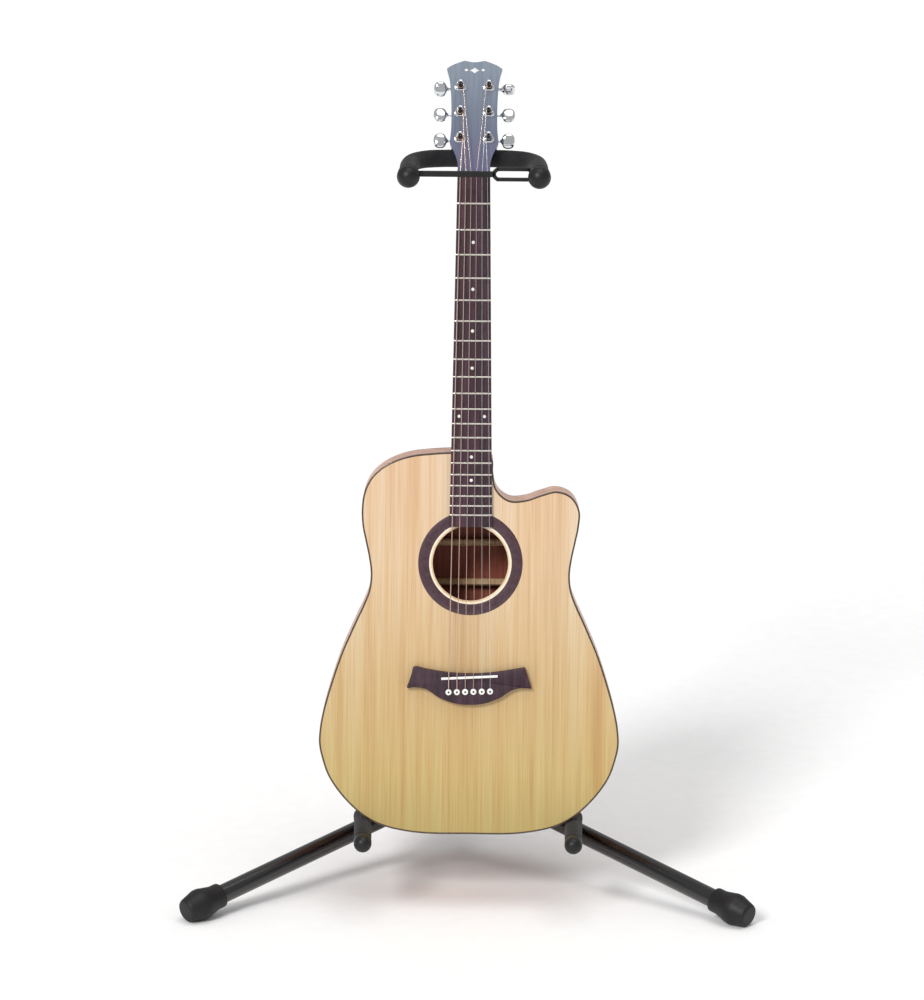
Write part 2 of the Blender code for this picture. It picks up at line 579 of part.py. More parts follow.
def neck(guitar, head, mahogany, ebony, bone):
    """Neck with heel and headstock, fretboard and nut."""
    joint = BODY_LENGTH + 0.5 * MM
    sections = []
    for rise, depth, width in NECK_SECTIONS:
        v = joint + rise * MM
        sections.append(neck_section(v, board_half_width(v) * width, depth * MM))
    angles = [math.radians(a) for a in range(0, 181, 20)]
    for rise, half in HEAD_WIDTHS:
        sections.append([from_head((half * MM * math.cos(a), HEAD_THICKNESS * min(1.0, 3 * math.sin(a)),
                                    rise * MM)) for a in angles])
    stick = piece("neck", lofted([section[::-1] for section in sections]), mahogany, guitar)
    wide = POST_RADIUS + POST_CLEARANCE
    post_hole = turned([(wide, -30 * MM), (wide, 5 * MM)], 10)
    for word, side in (("bass", -1), ("treble", 1)):
        for index, height in enumerate(POST_HEIGHTS):
            carve(stick, f"post_hole_{word}_{index + 1}", post_hole, head,
                  (side * POST_OFFSET, 0, height * MM), (QUARTER, 0, 0))
    top, bottom = -BOARD_THICKNESS - GAP, -GAP
    ends = []
    for v in (BOARD_END_V, NUT_V):
        half = board_half_width(v)
        edge, shoulder = top + 0.6 * MM, top + 0.1 * MM
        ends.append([(-half, edge, v), (-half / 2, shoulder, v), (half / 2, shoulder, v), (half, edge, v),
                     (half, bottom, v), (-half, bottom, v)])
    piece("fretboard", lofted(ends), ebony, guitar)
    piece("nut", block((NUT_WIDTH, 8.2 * MM, 4 * MM), (0, -4.4 * MM, NUT_V + GAP + 2 * MM)), bone, guitar)


def bridge(guitar, ebony, bone):
    """The bridge with its saddle standing in a slot."""
    outline = BRIDGE_HALF + [(-x, z) for x, z in reversed(BRIDGE_HALF[1:-1])]
    loop = [Vector((x * MM, SADDLE_V + z * MM)) for x, z in outline]
    bar = piece("bridge", plate(loop, lambda v: -BRIDGE_THICKNESS, lambda v: -GAP), ebony, guitar)
    saddle_turn = (0, -SADDLE_SLANT, 0)
    slot = block((74.6 * MM, 8 * MM, 3.6 * MM), (0, -4 * MM, 0))
    carve(bar, "saddle_slot", slot, guitar, (0, -4 * MM, SADDLE_V - 2 * MM), saddle_turn)
    piece("saddle", block((74 * MM, 7.6 * MM, 3 * MM), (0, -4.4 * MM, 0)), bone, guitar,
          (0, -3.9 * MM, SADDLE_V - 2 * MM), saddle_turn)


def strings(guitar, wire):
    """Six strings from the bridge over saddle and nut to their posts."""
    for index, radius in enumerate(STRING_RADII):
        place = index - 2.5
        side = -1 if index < 3 else 1
        post = POST_HEIGHTS[index if index < 3 else 5 - index] * MM
        r = radius * MM
        saddle_y = -12.3 * MM - r
        inner = side * (POST_OFFSET - POST_RADIUS - r - GAP)
        points = [(place * SADDLE_PITCH, -9.6 * MM - r, PIN_V + 2 * MM),
                  (place * SADDLE_PITCH, saddle_y,
                   SADDLE_V - 2 * MM + math.tan(SADDLE_SLANT) * place * SADDLE_PITCH),
                  (place * NUT_PITCH, -8.9 * MM - r, NUT_V - GAP),
                  (place * NUT_PITCH, -8.9 * MM - r, NUT_V + 4.6 * MM),
                  from_head((inner, -9 * MM, post + 1.5 * MM))]
        string_curve(f"string_{index + 1}", points, r, wire, guitar)


def tuners(head, chrome):
    """Six posts and six buttons, with a gear cover down each side of the headstock's back."""
    back = HEAD_THICKNESS + GAP
    rows = [height * MM for height in POST_HEIGHTS]
    cover = block((TUNER_PLATE_WIDTH, TUNER_PLATE_DEPTH, rows[-1] - rows[0] + 16 * MM))
    middle = back + TUNER_PLATE_DEPTH / 2
    post = turned([(POST_RADIUS, -back + GAP), (POST_RADIUS, 12.5 * MM), (2.2 * MM, 13.5 * MM),
                   (3 * MM, 14.5 * MM)], 10)
    for side, word in ((-1, "bass"), (1, "treble")):
        piece(f"tuner_plate_{word}", cover, chrome, head,
              (side * POST_OFFSET, middle, (rows[0] + rows[-1]) / 2))
        for index, height in enumerate(rows):
            piece(f"post_{word}_{index + 1}", post, chrome, head, (side * POST_OFFSET, 0, height),
                  (QUARTER, 0, 0))
            start = side * (POST_OFFSET + TUNER_PLATE_WIDTH / 2)
            button = piece(f"button_{word}_{index + 1}", turned_mm(BUTTON_PROFILE, 12), chrome, head,
                           (start, middle, height), (0, side * QUARTER, 0))
            for vertex in button.data.vertices:
                if vertex.co.z > BUTTON_BLADE_START:
                    vertex.co.x *= BUTTON_BLADE_WIDEN
                    vertex.co.y *= BUTTON_BLADE_FLATTEN


def build():
    """Clears the scene and makes the whole object."""
    for old in list(bpy.data.objects):
        bpy.data.objects.remove(old, do_unlink=True)
    steel = material("gloss black enamel", (0.01, 0.01, 0.011), 0.22)
    plastic = material("moulded black nylon", (0.014, 0.014, 0.015), 0.45)
    foam = material("black foam rubber", (0.025, 0.025, 0.026), 0.9)
    rubber = material("black rubber", (0.012, 0.012, 0.012), 0.6)
    spruce = material("spruce", (0.78, 0.55, 0.28), 0.35)
    mahogany = material("mahogany", (0.28, 0.09, 0.045), 0.35)
    dark = material("dark plastic binding", (0.03, 0.02, 0.018), 0.35)
    lining = material("raw spruce", (0.6, 0.4, 0.22), 0.7)
    ebony = material("rosewood", (0.035, 0.014, 0.022), 0.4)
    bone = material("white bone", (0.85, 0.84, 0.8), 0.3)
    chrome = material("chrome plate", (0.75, 0.76, 0.78), 0.12, 1.0)
    wire = material("bronze wound steel", (0.6, 0.42, 0.3), 0.3, 1.0)
    stand = frame("stand_frame", (0, HUB_Y, 0))
    shaft = frame("shaft_frame", (0, 0, HUB_HEIGHT), parent=stand)
    for side, turn in LEG_TURNS.items():
        leg(side, turn, stand, steel, rubber)
    stand_base(stand, shaft, steel, plastic)
    cradle(stand, steel, foam, plastic)
    mast(stand, shaft, steel, plastic)
    yoke(stand, steel, plastic, foam)
    neck_strap(stand, rubber)
    guitar = frame("guitar_frame", (0, GUITAR_Y, GUITAR_Z), (-GUITAR_LEAN, 0, 0), stand)
    head = frame("headstock_frame", HEAD_BASE, (-HEAD_TILT, 0, 0), guitar)
    body(guitar, spruce, mahogany, dark, lining)
    neck(guitar, head, mahogany, ebony, bone)
    bridge(guitar, ebony, bone)
    strings(guitar, wire)
    tuners(head, chrome)


build()
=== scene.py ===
"""The looks of a cutaway acoustic guitar in a folding tubular stand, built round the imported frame."""
import json
import math

import bpy
import numpy as np
from mathutils import Matrix, Vector


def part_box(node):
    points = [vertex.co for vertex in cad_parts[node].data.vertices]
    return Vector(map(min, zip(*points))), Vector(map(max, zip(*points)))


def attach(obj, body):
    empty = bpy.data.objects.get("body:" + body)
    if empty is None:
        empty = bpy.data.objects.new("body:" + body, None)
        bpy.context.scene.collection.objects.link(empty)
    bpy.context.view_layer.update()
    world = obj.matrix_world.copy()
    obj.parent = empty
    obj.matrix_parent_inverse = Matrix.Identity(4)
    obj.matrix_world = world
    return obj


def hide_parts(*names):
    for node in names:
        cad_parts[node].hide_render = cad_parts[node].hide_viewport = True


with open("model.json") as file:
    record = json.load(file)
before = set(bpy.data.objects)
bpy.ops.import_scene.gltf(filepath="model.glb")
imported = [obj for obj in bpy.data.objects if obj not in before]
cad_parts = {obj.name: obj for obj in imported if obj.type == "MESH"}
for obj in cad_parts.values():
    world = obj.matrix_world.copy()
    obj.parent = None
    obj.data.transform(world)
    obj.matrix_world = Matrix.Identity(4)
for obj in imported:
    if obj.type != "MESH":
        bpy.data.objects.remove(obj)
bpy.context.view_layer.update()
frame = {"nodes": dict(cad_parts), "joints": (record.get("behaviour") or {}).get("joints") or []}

MM = 0.001
TAU = 2 * math.pi

# ---- driving dimensions, the same as the frame's ------------------------------------------------
GUITAR_LEAN = math.radians(11)
HEAD_TILT = math.radians(14)
BINDING_DEPTH = 6 * MM
BODY_LENGTH = 505 * MM
TAIL_DEPTH = 114 * MM
NECK_DEPTH = 98 * MM
HOLE_V = 359 * MM
HOLE_RADIUS = 49.5 * MM
NUT_V = 868 * MM
SCALE_LENGTH = 650 * MM
BOARD_END_V = 407 * MM
BOARD_THICKNESS = 6 * MM
NUT_WIDTH = 43 * MM
BOARD_END_WIDTH = 56 * MM
BOARD_CAMBER = 400 * MM
BOARD_TOP = -BOARD_THICKNESS - 0.3 * MM
HEAD_THICKNESS = 15 * MM
HEAD_LENGTH = 150 * MM
SADDLE_V = 211 * MM
SADDLE_SLANT = math.tan(math.radians(3))
PIN_V = 190 * MM
STRING_RADII = (0.66, 0.54, 0.42, 0.33, 0.25, 0.25)
NUT_PITCH = 7.1 * MM
SADDLE_PITCH = 10.9 * MM
POST_OFFSET = 18.6 * MM
POST_HEIGHTS = (46 * MM, 80.7 * MM, 115.4 * MM)
LEG_TURNS = {"left": -50.0, "right": 50.0, "rear": 180.0}
LEG_RADIUS = 12.5 * MM
LEG_REACH = 458 * MM
LEG_PIVOT_REACH = 34 * MM
FOOT_RADIUS = 21 * MM
FOOT_FLAT = 0.7 * MM
HUB_HEIGHT = 103 * MM
CRADLE_TUBE_RADIUS = 8 * MM
YOKE_TUBE_RADIUS = 5 * MM
FOAM_RADIUS = 11.5 * MM
YOKE_ARM = 107 * MM
YOKE_HALF_SPAN = 85 * MM
BALL_RADIUS = 15 * MM


# ---- camera and light ---------------------------------------------------------------------------
def camera():
    """A long lens straight in front and a little above, turned a hair clockwise."""
    aim = Vector((-0.0118, -0.182, 0.521))
    distance, rise, roll = 8.0, math.radians(15.4), math.radians(0.5)
    back = Vector((0, -math.cos(rise), math.sin(rise)))
    data = bpy.data.cameras.new("studio camera")
    data.lens = 217.7
    data.clip_end = 100
    made = bpy.data.objects.new("studio camera", data)
    bpy.context.collection.objects.link(made)
    made.location = aim + back * distance
    made.rotation_euler = ((-back).to_track_quat("-Z", "Y").to_matrix()
                           @ Matrix.Rotation(roll, 3, "Z")).to_euler()
    bpy.context.scene.camera = made


def studio():
    """A white surround, a wide soft key from the front left, and a weaker one from overhead."""
    bpy.context.scene.view_settings.view_transform = "Standard"
    world = bpy.data.worlds.new("white surround")
    bpy.context.scene.world = world
    world.use_nodes = True
    surround = world.node_tree.nodes["Background"]
    surround.inputs["Color"].default_value = (1, 1, 1, 1)
    surround.inputs["Strength"].default_value = 0.5
    for name, travel, energy, spread in (("soft key", (0.42, 0.75, -0.62), 1.75, 16),
                                         ("soft top", (-0.1, 0.1, -1.0), 0.85, 40)):
        data = bpy.data.lights.new(name, "SUN")
        data.energy = energy
        data.angle = math.radians(spread)
        made = bpy.data.objects.new(name, data)
        bpy.context.collection.objects.link(made)
        made.rotation_euler = Vector(travel).to_track_quat("-Z", "Y").to_euler()


camera()
studio()


# ---- frames that shapes are placed by -----------------------------------------------------------
class Place:
    """An origin and three axes, the columns of turn: world = turn times own, plus origin."""

    def __init__(self, origin, turn=None):
        self.origin = np.array(origin, float)
        self.turn = np.eye(3) if turn is None else np.array(turn, float)

    def at(self, points):
        """World coordinates of an array of own ones."""
        return np.asarray(points) @ self.turn.T + self.origin

    def own(self, points):
        """Own coordinates of an array of world ones."""
        return (np.asarray(points) - self.origin) @ self.turn

    def inside(self, origin, turn=None):
        """A place given in this one's coordinates."""
        own = np.eye(3) if turn is None else np.array(turn, float)
        return Place(self.at(origin), self.turn @ own)


def rotation(angle, axis):
    """A rotation matrix about one axis."""
    return np.array(Matrix.Rotation(angle, 3, axis))


binding_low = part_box("binding")[0]
GUITAR = Place((0, binding_low[1], binding_low[2] + BINDING_DEPTH * math.sin(GUITAR_LEAN)),
               rotation(-GUITAR_LEAN, "X"))
HEAD = GUITAR.inside((0, -0.5 * MM, NUT_V + 4.5 * MM), rotation(-HEAD_TILT, "X"))
joint_at = {joint["name"]: np.array(joint.get("pos_m", (0, 0, 0))) for joint in frame["joints"]}
HUB_Y = joint_at["left_leg_fold"][1] + LEG_PIVOT_REACH * math.cos(math.radians(LEG_TURNS["left"]))
STAND = Place((0, HUB_Y, 0))


# ---- shapes -------------------------------------------------------------------------------------
def mm(*points):
    """Points written in millimetres, as an array in metres."""
    return np.array(points, float) * MM


def solid(name, grid, finish, body, replaces=(), wrap=False, crease=38):
    """A closed piece from a grid of points: rows run along it and columns run round it.

    Columns always close on themselves.  Rows close too when wrap is set; otherwise each end is
    capped with one flat face.  The volume held is the sum of the faces' triple products with the
    middle point, and the faces are turned outwards by its sign.
    """
    rows, columns = grid.shape[:2]
    index = np.arange(rows * columns).reshape(rows, columns)
    here = index if wrap else index[:-1]
    ahead = np.roll(index, -1, 0) if wrap else index[1:]
    quads = np.stack([here, np.roll(here, -1, 1), np.roll(ahead, -1, 1), ahead], -1).reshape(-1, 4)
    points = grid.reshape(-1, 3)
    a, b, c, d = (points[quads[:, i]] - points.mean(0) for i in range(4))
    volume = (a * np.cross(b, c)).sum() + (a * np.cross(c, d)).sum()
    outward = volume >= 0
    polygons = (quads if outward else quads[:, ::-1]).tolist()
    if not wrap:
        ends = (index[0][::-1], index[-1]) if outward else (index[0], index[-1][::-1])
        polygons += [end.tolist() for end in ends]
    mesh = bpy.data.meshes.new(name)
    mesh.from_pydata(points.tolist(), [], polygons)
    mesh.shade_smooth()
    for cap in mesh.polygons[len(quads):]:
        cap.use_smooth = False
    return finished(name, mesh, finish, body, replaces, crease)


def finished(name, mesh, finish, body, replaces=(), crease=38):
    """Shades a mesh, sharp past its crease angle, gives it its finish, and hangs it on its body."""
    mesh.update()
    mesh.set_sharp_from_angle(angle=math.radians(crease))
    made = bpy.data.objects.new(name, mesh)
    bpy.context.collection.objects.link(made)
    made.data.materials.append(finish)
    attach(made, body)
    if replaces:
        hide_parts(*replaces)
    return made


def turned(profile, steps=48, lobes=0, lobe_depth=0.0):
    """A profile of radius and height carried round Z.

    At each angle the point is radius * cos, radius * sin, height; lobes multiply the radius by
    one plus the lobe depth times the cosine of that many angles.
    """
    profile = np.asarray(profile)
    angle = np.linspace(0, TAU, steps, endpoint=False)
    ripple = 1 + lobe_depth * np.cos(lobes * angle)
    radius = profile[:, :1] * ripple
    return np.stack([radius * np.cos(angle), radius * np.sin(angle),
                     np.broadcast_to(profile[:, 1:2], radius.shape)], -1)


def curved(points, count, closed=False):
    """Points spaced evenly by length on a smooth curve through given ones.

    Between two points the curve is the Catmull-Rom cubic of them and of their two neighbours; an
    open curve's neighbour past an end is that end's mirror image of the point inside it.
    """
    p = np.array(points, float)
    if closed:
        p = np.vstack([p[-1], p, p[0], p[1]])
    else:
        p = np.vstack([2 * p[0] - p[1], p, 2 * p[-1] - p[-2]])
    t = np.linspace(0, 1, 24, endpoint=False)[None, :, None]
    before, start, end, after = (p[i:len(p) - 3 + i, None] for i in range(4))
    fine = 0.5 * (2 * start + (end - before) * t + (2 * before - 5 * start + 4 * end - after) * t ** 2
                  + (3 * start - before - 3 * end + after) * t ** 3).reshape(-1, p.shape[1])
    fine = np.vstack([fine, p[-2:-1]])
    length = np.concatenate([[0], np.cumsum(np.linalg.norm(np.diff(fine, axis=0), axis=1))])
    wanted = np.linspace(0, length[-1], count, endpoint=not closed)
    return np.stack([np.interp(wanted, length, fine[:, i]) for i in range(fine.shape[1])], -1)


def carried(path, section, up=(0, 0, 1), closed=False, scale=None):
    """A flat section carried along a path.

    Each point is the path's point plus the section's first value along the side and its second
    over it, times the scale there; the side is the tangent crossed with the up direction.
    """
    path, section = np.asarray(path), np.asarray(section)
    if closed:
        tangent = np.roll(path, -1, 0) - np.roll(path, 1, 0)
    else:
        tangent = np.gradient(path, axis=0)
    tangent /= np.linalg.norm(tangent, axis=1, keepdims=True)
    side = np.cross(tangent, np.array(up, float))
    side /= np.linalg.norm(side, axis=1, keepdims=True)
    over = np.cross(side, tangent)
    size = np.ones(len(path)) if scale is None else np.asarray(scale)
    return (path[:, None] + size[:, None, None] * (section[None, :, :1] * side[:, None]
                                                   + section[None, :, 1:] * over[:, None]))


def circle(radius, count=32):
    """A round section: radius times the cosine and the sine of evenly spaced angles."""
    angle = np.linspace(0, TAU, count, endpoint=False)
    return radius * np.stack([np.cos(angle), np.sin(angle)], -1)


def soft_box(width, height, corner, count=6):
    """A rectangular section whose corners are quarter circles of the corner radius."""
    angle = np.linspace(0, math.pi / 2, count)
    arcs = [np.stack([np.cos(angle + k * math.pi / 2), np.sin(angle + k * math.pi / 2)], -1) * corner
            for k in range(4)]
    x, y = width / 2 - corner, height / 2 - corner
    centres = np.array([(x, y), (-x, y), (-x, -y), (x, -y)])
    return np.concatenate([arc + centre for arc, centre in zip(arcs, centres)])


def hooped(loop, inset, depth):
    """A section of (inset, depth) points carried round a flat loop; depth is (near, taper) per point.

    The loop lies in X and Z.  Each section point sits its inset inside the loop, along the loop's
    normal, and at depth near + taper * Z along Y.
    """
    along = np.roll(loop, -1, 0) - np.roll(loop, 1, 0)
    normal = np.stack([-along[:, 1], along[:, 0]], -1)
    normal /= np.linalg.norm(normal, axis=1, keepdims=True)
    flat = loop[:, None] + normal[:, None] * np.asarray(inset)[None, :, None]
    depth = np.asarray(depth)
    y = depth[None, :, 0] + depth[None, :, 1] * flat[:, :, 1]
    return np.stack([flat[..., 0], y, flat[..., 1]], -1)


def plate_grid(loop, levels):
    """A flat outline in X and Z lofted through (inset, y) levels: at each, the outline moved in by
    the inset and set at that y, so its edges roll over."""
    return np.stack([hooped(loop, [inset], [(y, 0)])[:, 0] for inset, y in levels])


# ---- materials ----------------------------------------------------------------------------------
def ink(code):
    """A linear colour from an sRGB hex code."""
    value = np.array([int(code[i:i + 2], 16) for i in (0, 2, 4)]) / 255
    value = np.where(value <= 0.04045, value / 12.92, ((value + 0.055) / 1.055) ** 2.4)
    return (*value.tolist(), 1.0)


class Finish:
    """One material being put together: a Principled shader and the nodes that feed it."""

    def __init__(self, name, **sockets):
        self.made = bpy.data.materials.new(name)
        self.made.use_nodes = True
        self.tree = self.made.node_tree
        self.shader = self.tree.nodes["Principled BSDF"]
        for socket, value in sockets.items():
            self.shader.inputs[socket.replace("_", " ")].default_value = value

    def add(self, kind, settings, links, output=0):
        """Adds one node and gives one of its outputs.

        Settings go to the node's own properties, or else to its sockets, and links to its inputs.
        The setting named stops holds a ramp's places and their hex colours.
        """
        made = self.tree.nodes.new("ShaderNode" + kind)
        for key, value in settings.items():
            if key == "stops":
                ramp = made.color_ramp.elements
                while len(ramp) < len(value):
                    ramp.new(0.5)
                for stop, (place, code) in zip(ramp, value):
                    stop.position = place
                    stop.color = ink(code)
            elif isinstance(key, int) or not hasattr(made, key):
                made.inputs[key].default_value = value
            else:
                setattr(made, key, value)
        for key, source in links.items():
            self.tree.links.new(source, made.inputs[key])
        return made.outputs[output]

    def along(self, place=None, stretch=(1, 1, 1)):
        """Object coordinates in a place's own axes, each multiplied by its stretch."""
        where = self.add("TexCoord", {}, {}, "Object")
        if place is not None:
            turn = Matrix(place.turn.tolist()).inverted()
            shift = -(turn @ Vector(place.origin))
            where = self.add("Mapping", {"Location": shift, "Rotation": turn.to_euler()}, {"Vector": where})
        return self.add("Mapping", {"Scale": stretch}, {"Vector": where})

    def stained(self, ground, *layers):
        """A ground colour multiplied by layers: (amount, pattern, stops of a ramp over the pattern)."""
        for amount, pattern, stops in layers:
            layer = self.add("ValToRGB", {"stops": stops}, {"Fac": pattern})
            ground = self.add("Mix", {"data_type": "RGBA", "blend_type": "MULTIPLY", 0: amount},
                              {6: ground, 7: layer}, 2)
        return ground

    def surface(self, colour, wear, rough, relief, depth, strength):
        """Wires a colour, a roughness that follows wear between two values, and a relief's bumps."""
        roughness = self.add("MapRange", {"To Min": rough[0], "To Max": rough[1]}, {"Value": wear})
        bumps = self.add("Bump", {"Distance": depth, "Strength": strength}, {"Height": relief})
        for socket, source in (("Base Color", colour), ("Roughness", roughness), ("Normal", bumps)):
            self.tree.links.new(source, self.shader.inputs[socket])
        return self.made


def lacquered_spruce():
    """Quartered spruce sprayed with satin lacquer, for the top.

    It gives straight grain lines 1.6 mm apart in warm bands 16 mm wide, under a soft sheen; the
    ground runs from olive straw at the tail to pale cream at the shoulders.
    """
    it = Finish("lacquered spruce", Coat_Weight=0.35, Coat_Roughness=0.18)
    lines = it.add("TexNoise", {"Scale": 1 / (1.613 * MM), "Detail": 2.0, "Roughness": 0.55},
                   {"Vector": it.along(GUITAR, (1, 0.1, 0.012))})
    bands = it.add("TexNoise", {"Scale": 1 / (16.13 * MM), "Detail": 3.0, "Roughness": 0.6},
                   {"Vector": it.along(GUITAR, (1, 0.1, 0.02))})
    broad = it.add("TexNoise", {"Scale": 1 / (71.43 * MM), "Detail": 2.0, "Roughness": 0.5},
                   {"Vector": it.along(GUITAR, (1, 0.1, 0.12))})
    height = it.add("SeparateXYZ", {}, {0: it.along(GUITAR)}, 2)
    share = it.add("MapRange", {"From Max": BODY_LENGTH}, {"Value": height})
    ground = it.add("ValToRGB", {"stops": [(0.0, "b5a76d"), (0.16, "c6b37c"), (0.4, "cfb88d"),
                                           (0.7, "dfcbaf"), (1.0, "e3cdb5")]}, {"Fac": share})
    colour = it.stained(ground, (0.5, bands, [(0.3, "dcb583"), (0.46, "f7e8d0"), (0.62, "ffffff")]),
                        (0.4, lines, [(0.34, "dcc09a"), (0.5, "f7efe2"), (0.66, "ffffff")]),
                        (0.5, broad, [(0.3, "f9e6cc"), (0.7, "ffffff")]))
    return it.surface(colour, lines, (0.42, 0.34), lines, 0.05 * MM, 0.3)


def polished_mahogany():
    """Mahogany rubbed to a gloss, for back, sides and neck: ribbon figure, dark pores 1 mm wide."""
    it = Finish("polished mahogany", Coat_Weight=0.2, Coat_Roughness=0.2)
    ribbon = it.add("TexNoise", {"Scale": 1 / (22.22 * MM), "Detail": 3.0, "Roughness": 0.55,
                                 "Distortion": 0.4}, {"Vector": it.along(GUITAR, (1, 1, 0.06))})
    pores = it.add("TexNoise", {"Scale": 1 / (1.111 * MM), "Detail": 2.0, "Roughness": 0.5},
                   {"Vector": it.along(GUITAR, (1, 1, 0.06))})
    ground = it.add("ValToRGB", {"stops": [(0.3, "a25f36"), (0.5, "c68355"), (0.7, "dba06f")]},
                    {"Fac": ribbon})
    colour = it.stained(ground, (0.7, pores, [(0.32, "5a3020"), (0.42, "ffffff")]))
    return it.surface(colour, ribbon, (0.42, 0.34), pores, 0.05 * MM, 0.25)


def oiled_rosewood():
    """Oiled rosewood, for board and bridge: purple-brown, near-black streaks 8 mm apart, open pores."""
    it = Finish("oiled rosewood", Specular_IOR_Level=0.45)
    streaks = it.add("TexNoise", {"Scale": 1 / (7.692 * MM), "Detail": 4.0, "Roughness": 0.6,
                                  "Distortion": 0.6}, {"Vector": it.along(GUITAR, (1, 1, 0.05))})
    pores = it.add("TexNoise", {"Scale": 1 / (0.9091 * MM), "Detail": 2.0, "Roughness": 0.5},
                   {"Vector": it.along(GUITAR, (1, 1, 0.08))})
    ground = it.add("ValToRGB", {"stops": [(0.3, "22131b"), (0.5, "3a212e"), (0.72, "533241")]},
                    {"Fac": streaks})
    colour = it.stained(ground, (0.6, pores, [(0.36, "3a2a2e"), (0.48, "ffffff")]))
    return it.surface(colour, pores, (0.5, 0.38), pores, 0.08 * MM, 0.35)


def stained_veneer():
    """Veneer stained slate and flooded with gloss, for the headstock: blue-grey, paler at the top."""
    it = Finish("slate stained veneer", Coat_Weight=0.8, Coat_Roughness=0.06)
    grain = it.add("TexNoise", {"Scale": 1 / (3.846 * MM), "Detail": 3.0, "Roughness": 0.55},
                   {"Vector": it.along(HEAD, (1, 1, 0.04))})
    height = it.add("SeparateXYZ", {}, {0: it.along(HEAD)}, 2)
    share = it.add("MapRange", {"From Max": HEAD_LENGTH}, {"Value": height})
    ground = it.add("ValToRGB", {"stops": [(0.0, "5d5c7d"), (0.5, "6b7587"), (1.0, "808b98")]},
                    {"Fac": share})
    colour = it.stained(ground, (0.7, grain, [(0.35, "dadce2"), (0.6, "ffffff")]))
    return it.surface(colour, grain, (0.34, 0.24), grain, 0.03 * MM, 0.2)


def bare_wood(name, size, detail, stops, rough):
    """Wood left from the plane, for braces, blocks and the inside: matt, with a fuzzy grain."""
    it = Finish(name)
    grain = it.add("TexNoise", {"Scale": 1 / size, "Detail": detail, "Roughness": 0.6},
                   {"Vector": it.along(GUITAR, (1, 1, 0.05))})
    colour = it.add("ValToRGB", {"stops": stops}, {"Fac": grain})
    return it.surface(colour, grain, rough, grain, 0.1 * MM, 0.4)


def celluloid(name, low, high, rough):
    """Cast plastic, bone or pearl rubbed to a gloss: a faint cloud 5 mm across in its colour."""
    it = Finish(name, Coat_Weight=0.3, Coat_Roughness=0.1)
    cloud = it.add("TexNoise", {"Scale": 1 / (5.263 * MM), "Detail": 3.0, "Roughness": 0.55},
                   {"Vector": it.along()})
    colour = it.add("ValToRGB", {"stops": [(0.35, low), (0.65, high)]}, {"Fac": cloud})
    return it.surface(colour, cloud, (rough + 0.04, rough - 0.04), cloud, 0.02 * MM, 0.2)


def plated(name, low, high, rough):
    """Polished metal or plate: polishing haze 1.4 mm across gently breaks up its reflections."""
    it = Finish(name, Metallic=1.0)
    haze = it.add("TexNoise", {"Scale": 1 / (1.429 * MM), "Detail": 3.0, "Roughness": 0.6},
                  {"Vector": it.along()})
    colour = it.add("ValToRGB", {"stops": [(0.3, low), (0.7, high)]}, {"Fac": haze})
    return it.surface(colour, haze, (rough * 0.7, rough * 1.4), haze, 0.01 * MM, 0.15)


def wound_string(name, low, high):
    """Bronze wound on a steel core: fine rings across the string, drawn 0.9 mm apart so they show."""
    it = Finish(name, Metallic=1.0)
    rings = it.add("TexWave", {"bands_direction": "Z", "Scale": 1 / (0.9091 * MM * math.pi)},
                   {"Vector": it.along(GUITAR)}, "Fac")
    colour = it.add("ValToRGB", {"stops": [(0.1, low), (0.8, high)]}, {"Fac": rings})
    return it.surface(colour, rings, (0.4, 0.24), rings, 0.05 * MM, 0.5)


def stoved_enamel():
    """Gloss black enamel stoved on steel tube: orange peel 6 mm across, and a fine dust."""
    it = Finish("black stoved enamel", Coat_Weight=0.5, Coat_Roughness=0.06)
    peel = it.add("TexNoise", {"Scale": 1 / (6.25 * MM), "Detail": 2.0, "Roughness": 0.4},
                  {"Vector": it.along()})
    dust = it.add("TexNoise", {"Scale": 1 / (1.111 * MM), "Detail": 3.0, "Roughness": 0.6},
                  {"Vector": it.along()})
    colour = it.add("ValToRGB", {"stops": [(0.3, "09090b"), (0.75, "121215")]}, {"Fac": dust})
    return it.surface(colour, peel, (0.22, 0.3), peel, 0.06 * MM, 0.2)


def moulded(name, low, high, rough, grit, depth):
    """Black plastic or rubber from a spark-eroded mould: a matt grit, and a bloom 33 mm across."""
    it = Finish(name, Specular_IOR_Level=0.35)
    grain = it.add("TexNoise", {"Scale": 1 / grit, "Detail": 3.0, "Roughness": 0.6},
                   {"Vector": it.along()})
    bloom = it.add("TexNoise", {"Scale": 1 / (33.33 * MM), "Detail": 3.0, "Roughness": 0.6},
                   {"Vector": it.along()})
    colour = it.add("ValToRGB", {"stops": [(0.3, low), (0.7, high)]}, {"Fac": bloom})
    return it.surface(colour, grain, (rough - 0.06, rough + 0.08), grain, depth, 0.4)


def foam_rubber():
    """Closed-cell foam sleeving: soft charcoal, cells 1.1 mm across, rubbed patches, a dusty sheen."""
    it = Finish("closed cell foam rubber", Specular_IOR_Level=0.25, Sheen_Weight=0.08, Sheen_Roughness=0.5)
    cells = it.add("TexVoronoi", {"Scale": 1 / (1.111 * MM)}, {"Vector": it.along()}, "Distance")
    rub = it.add("TexNoise", {"Scale": 1 / (18.18 * MM), "Detail": 4.0, "Roughness": 0.6},
                 {"Vector": it.along()})
    colour = it.add("ValToRGB", {"stops": [(0.3, "18181a"), (0.7, "28282a")]}, {"Fac": rub})
    return it.surface(colour, cells, (0.82, 0.96), cells, 0.25 * MM, 0.45)


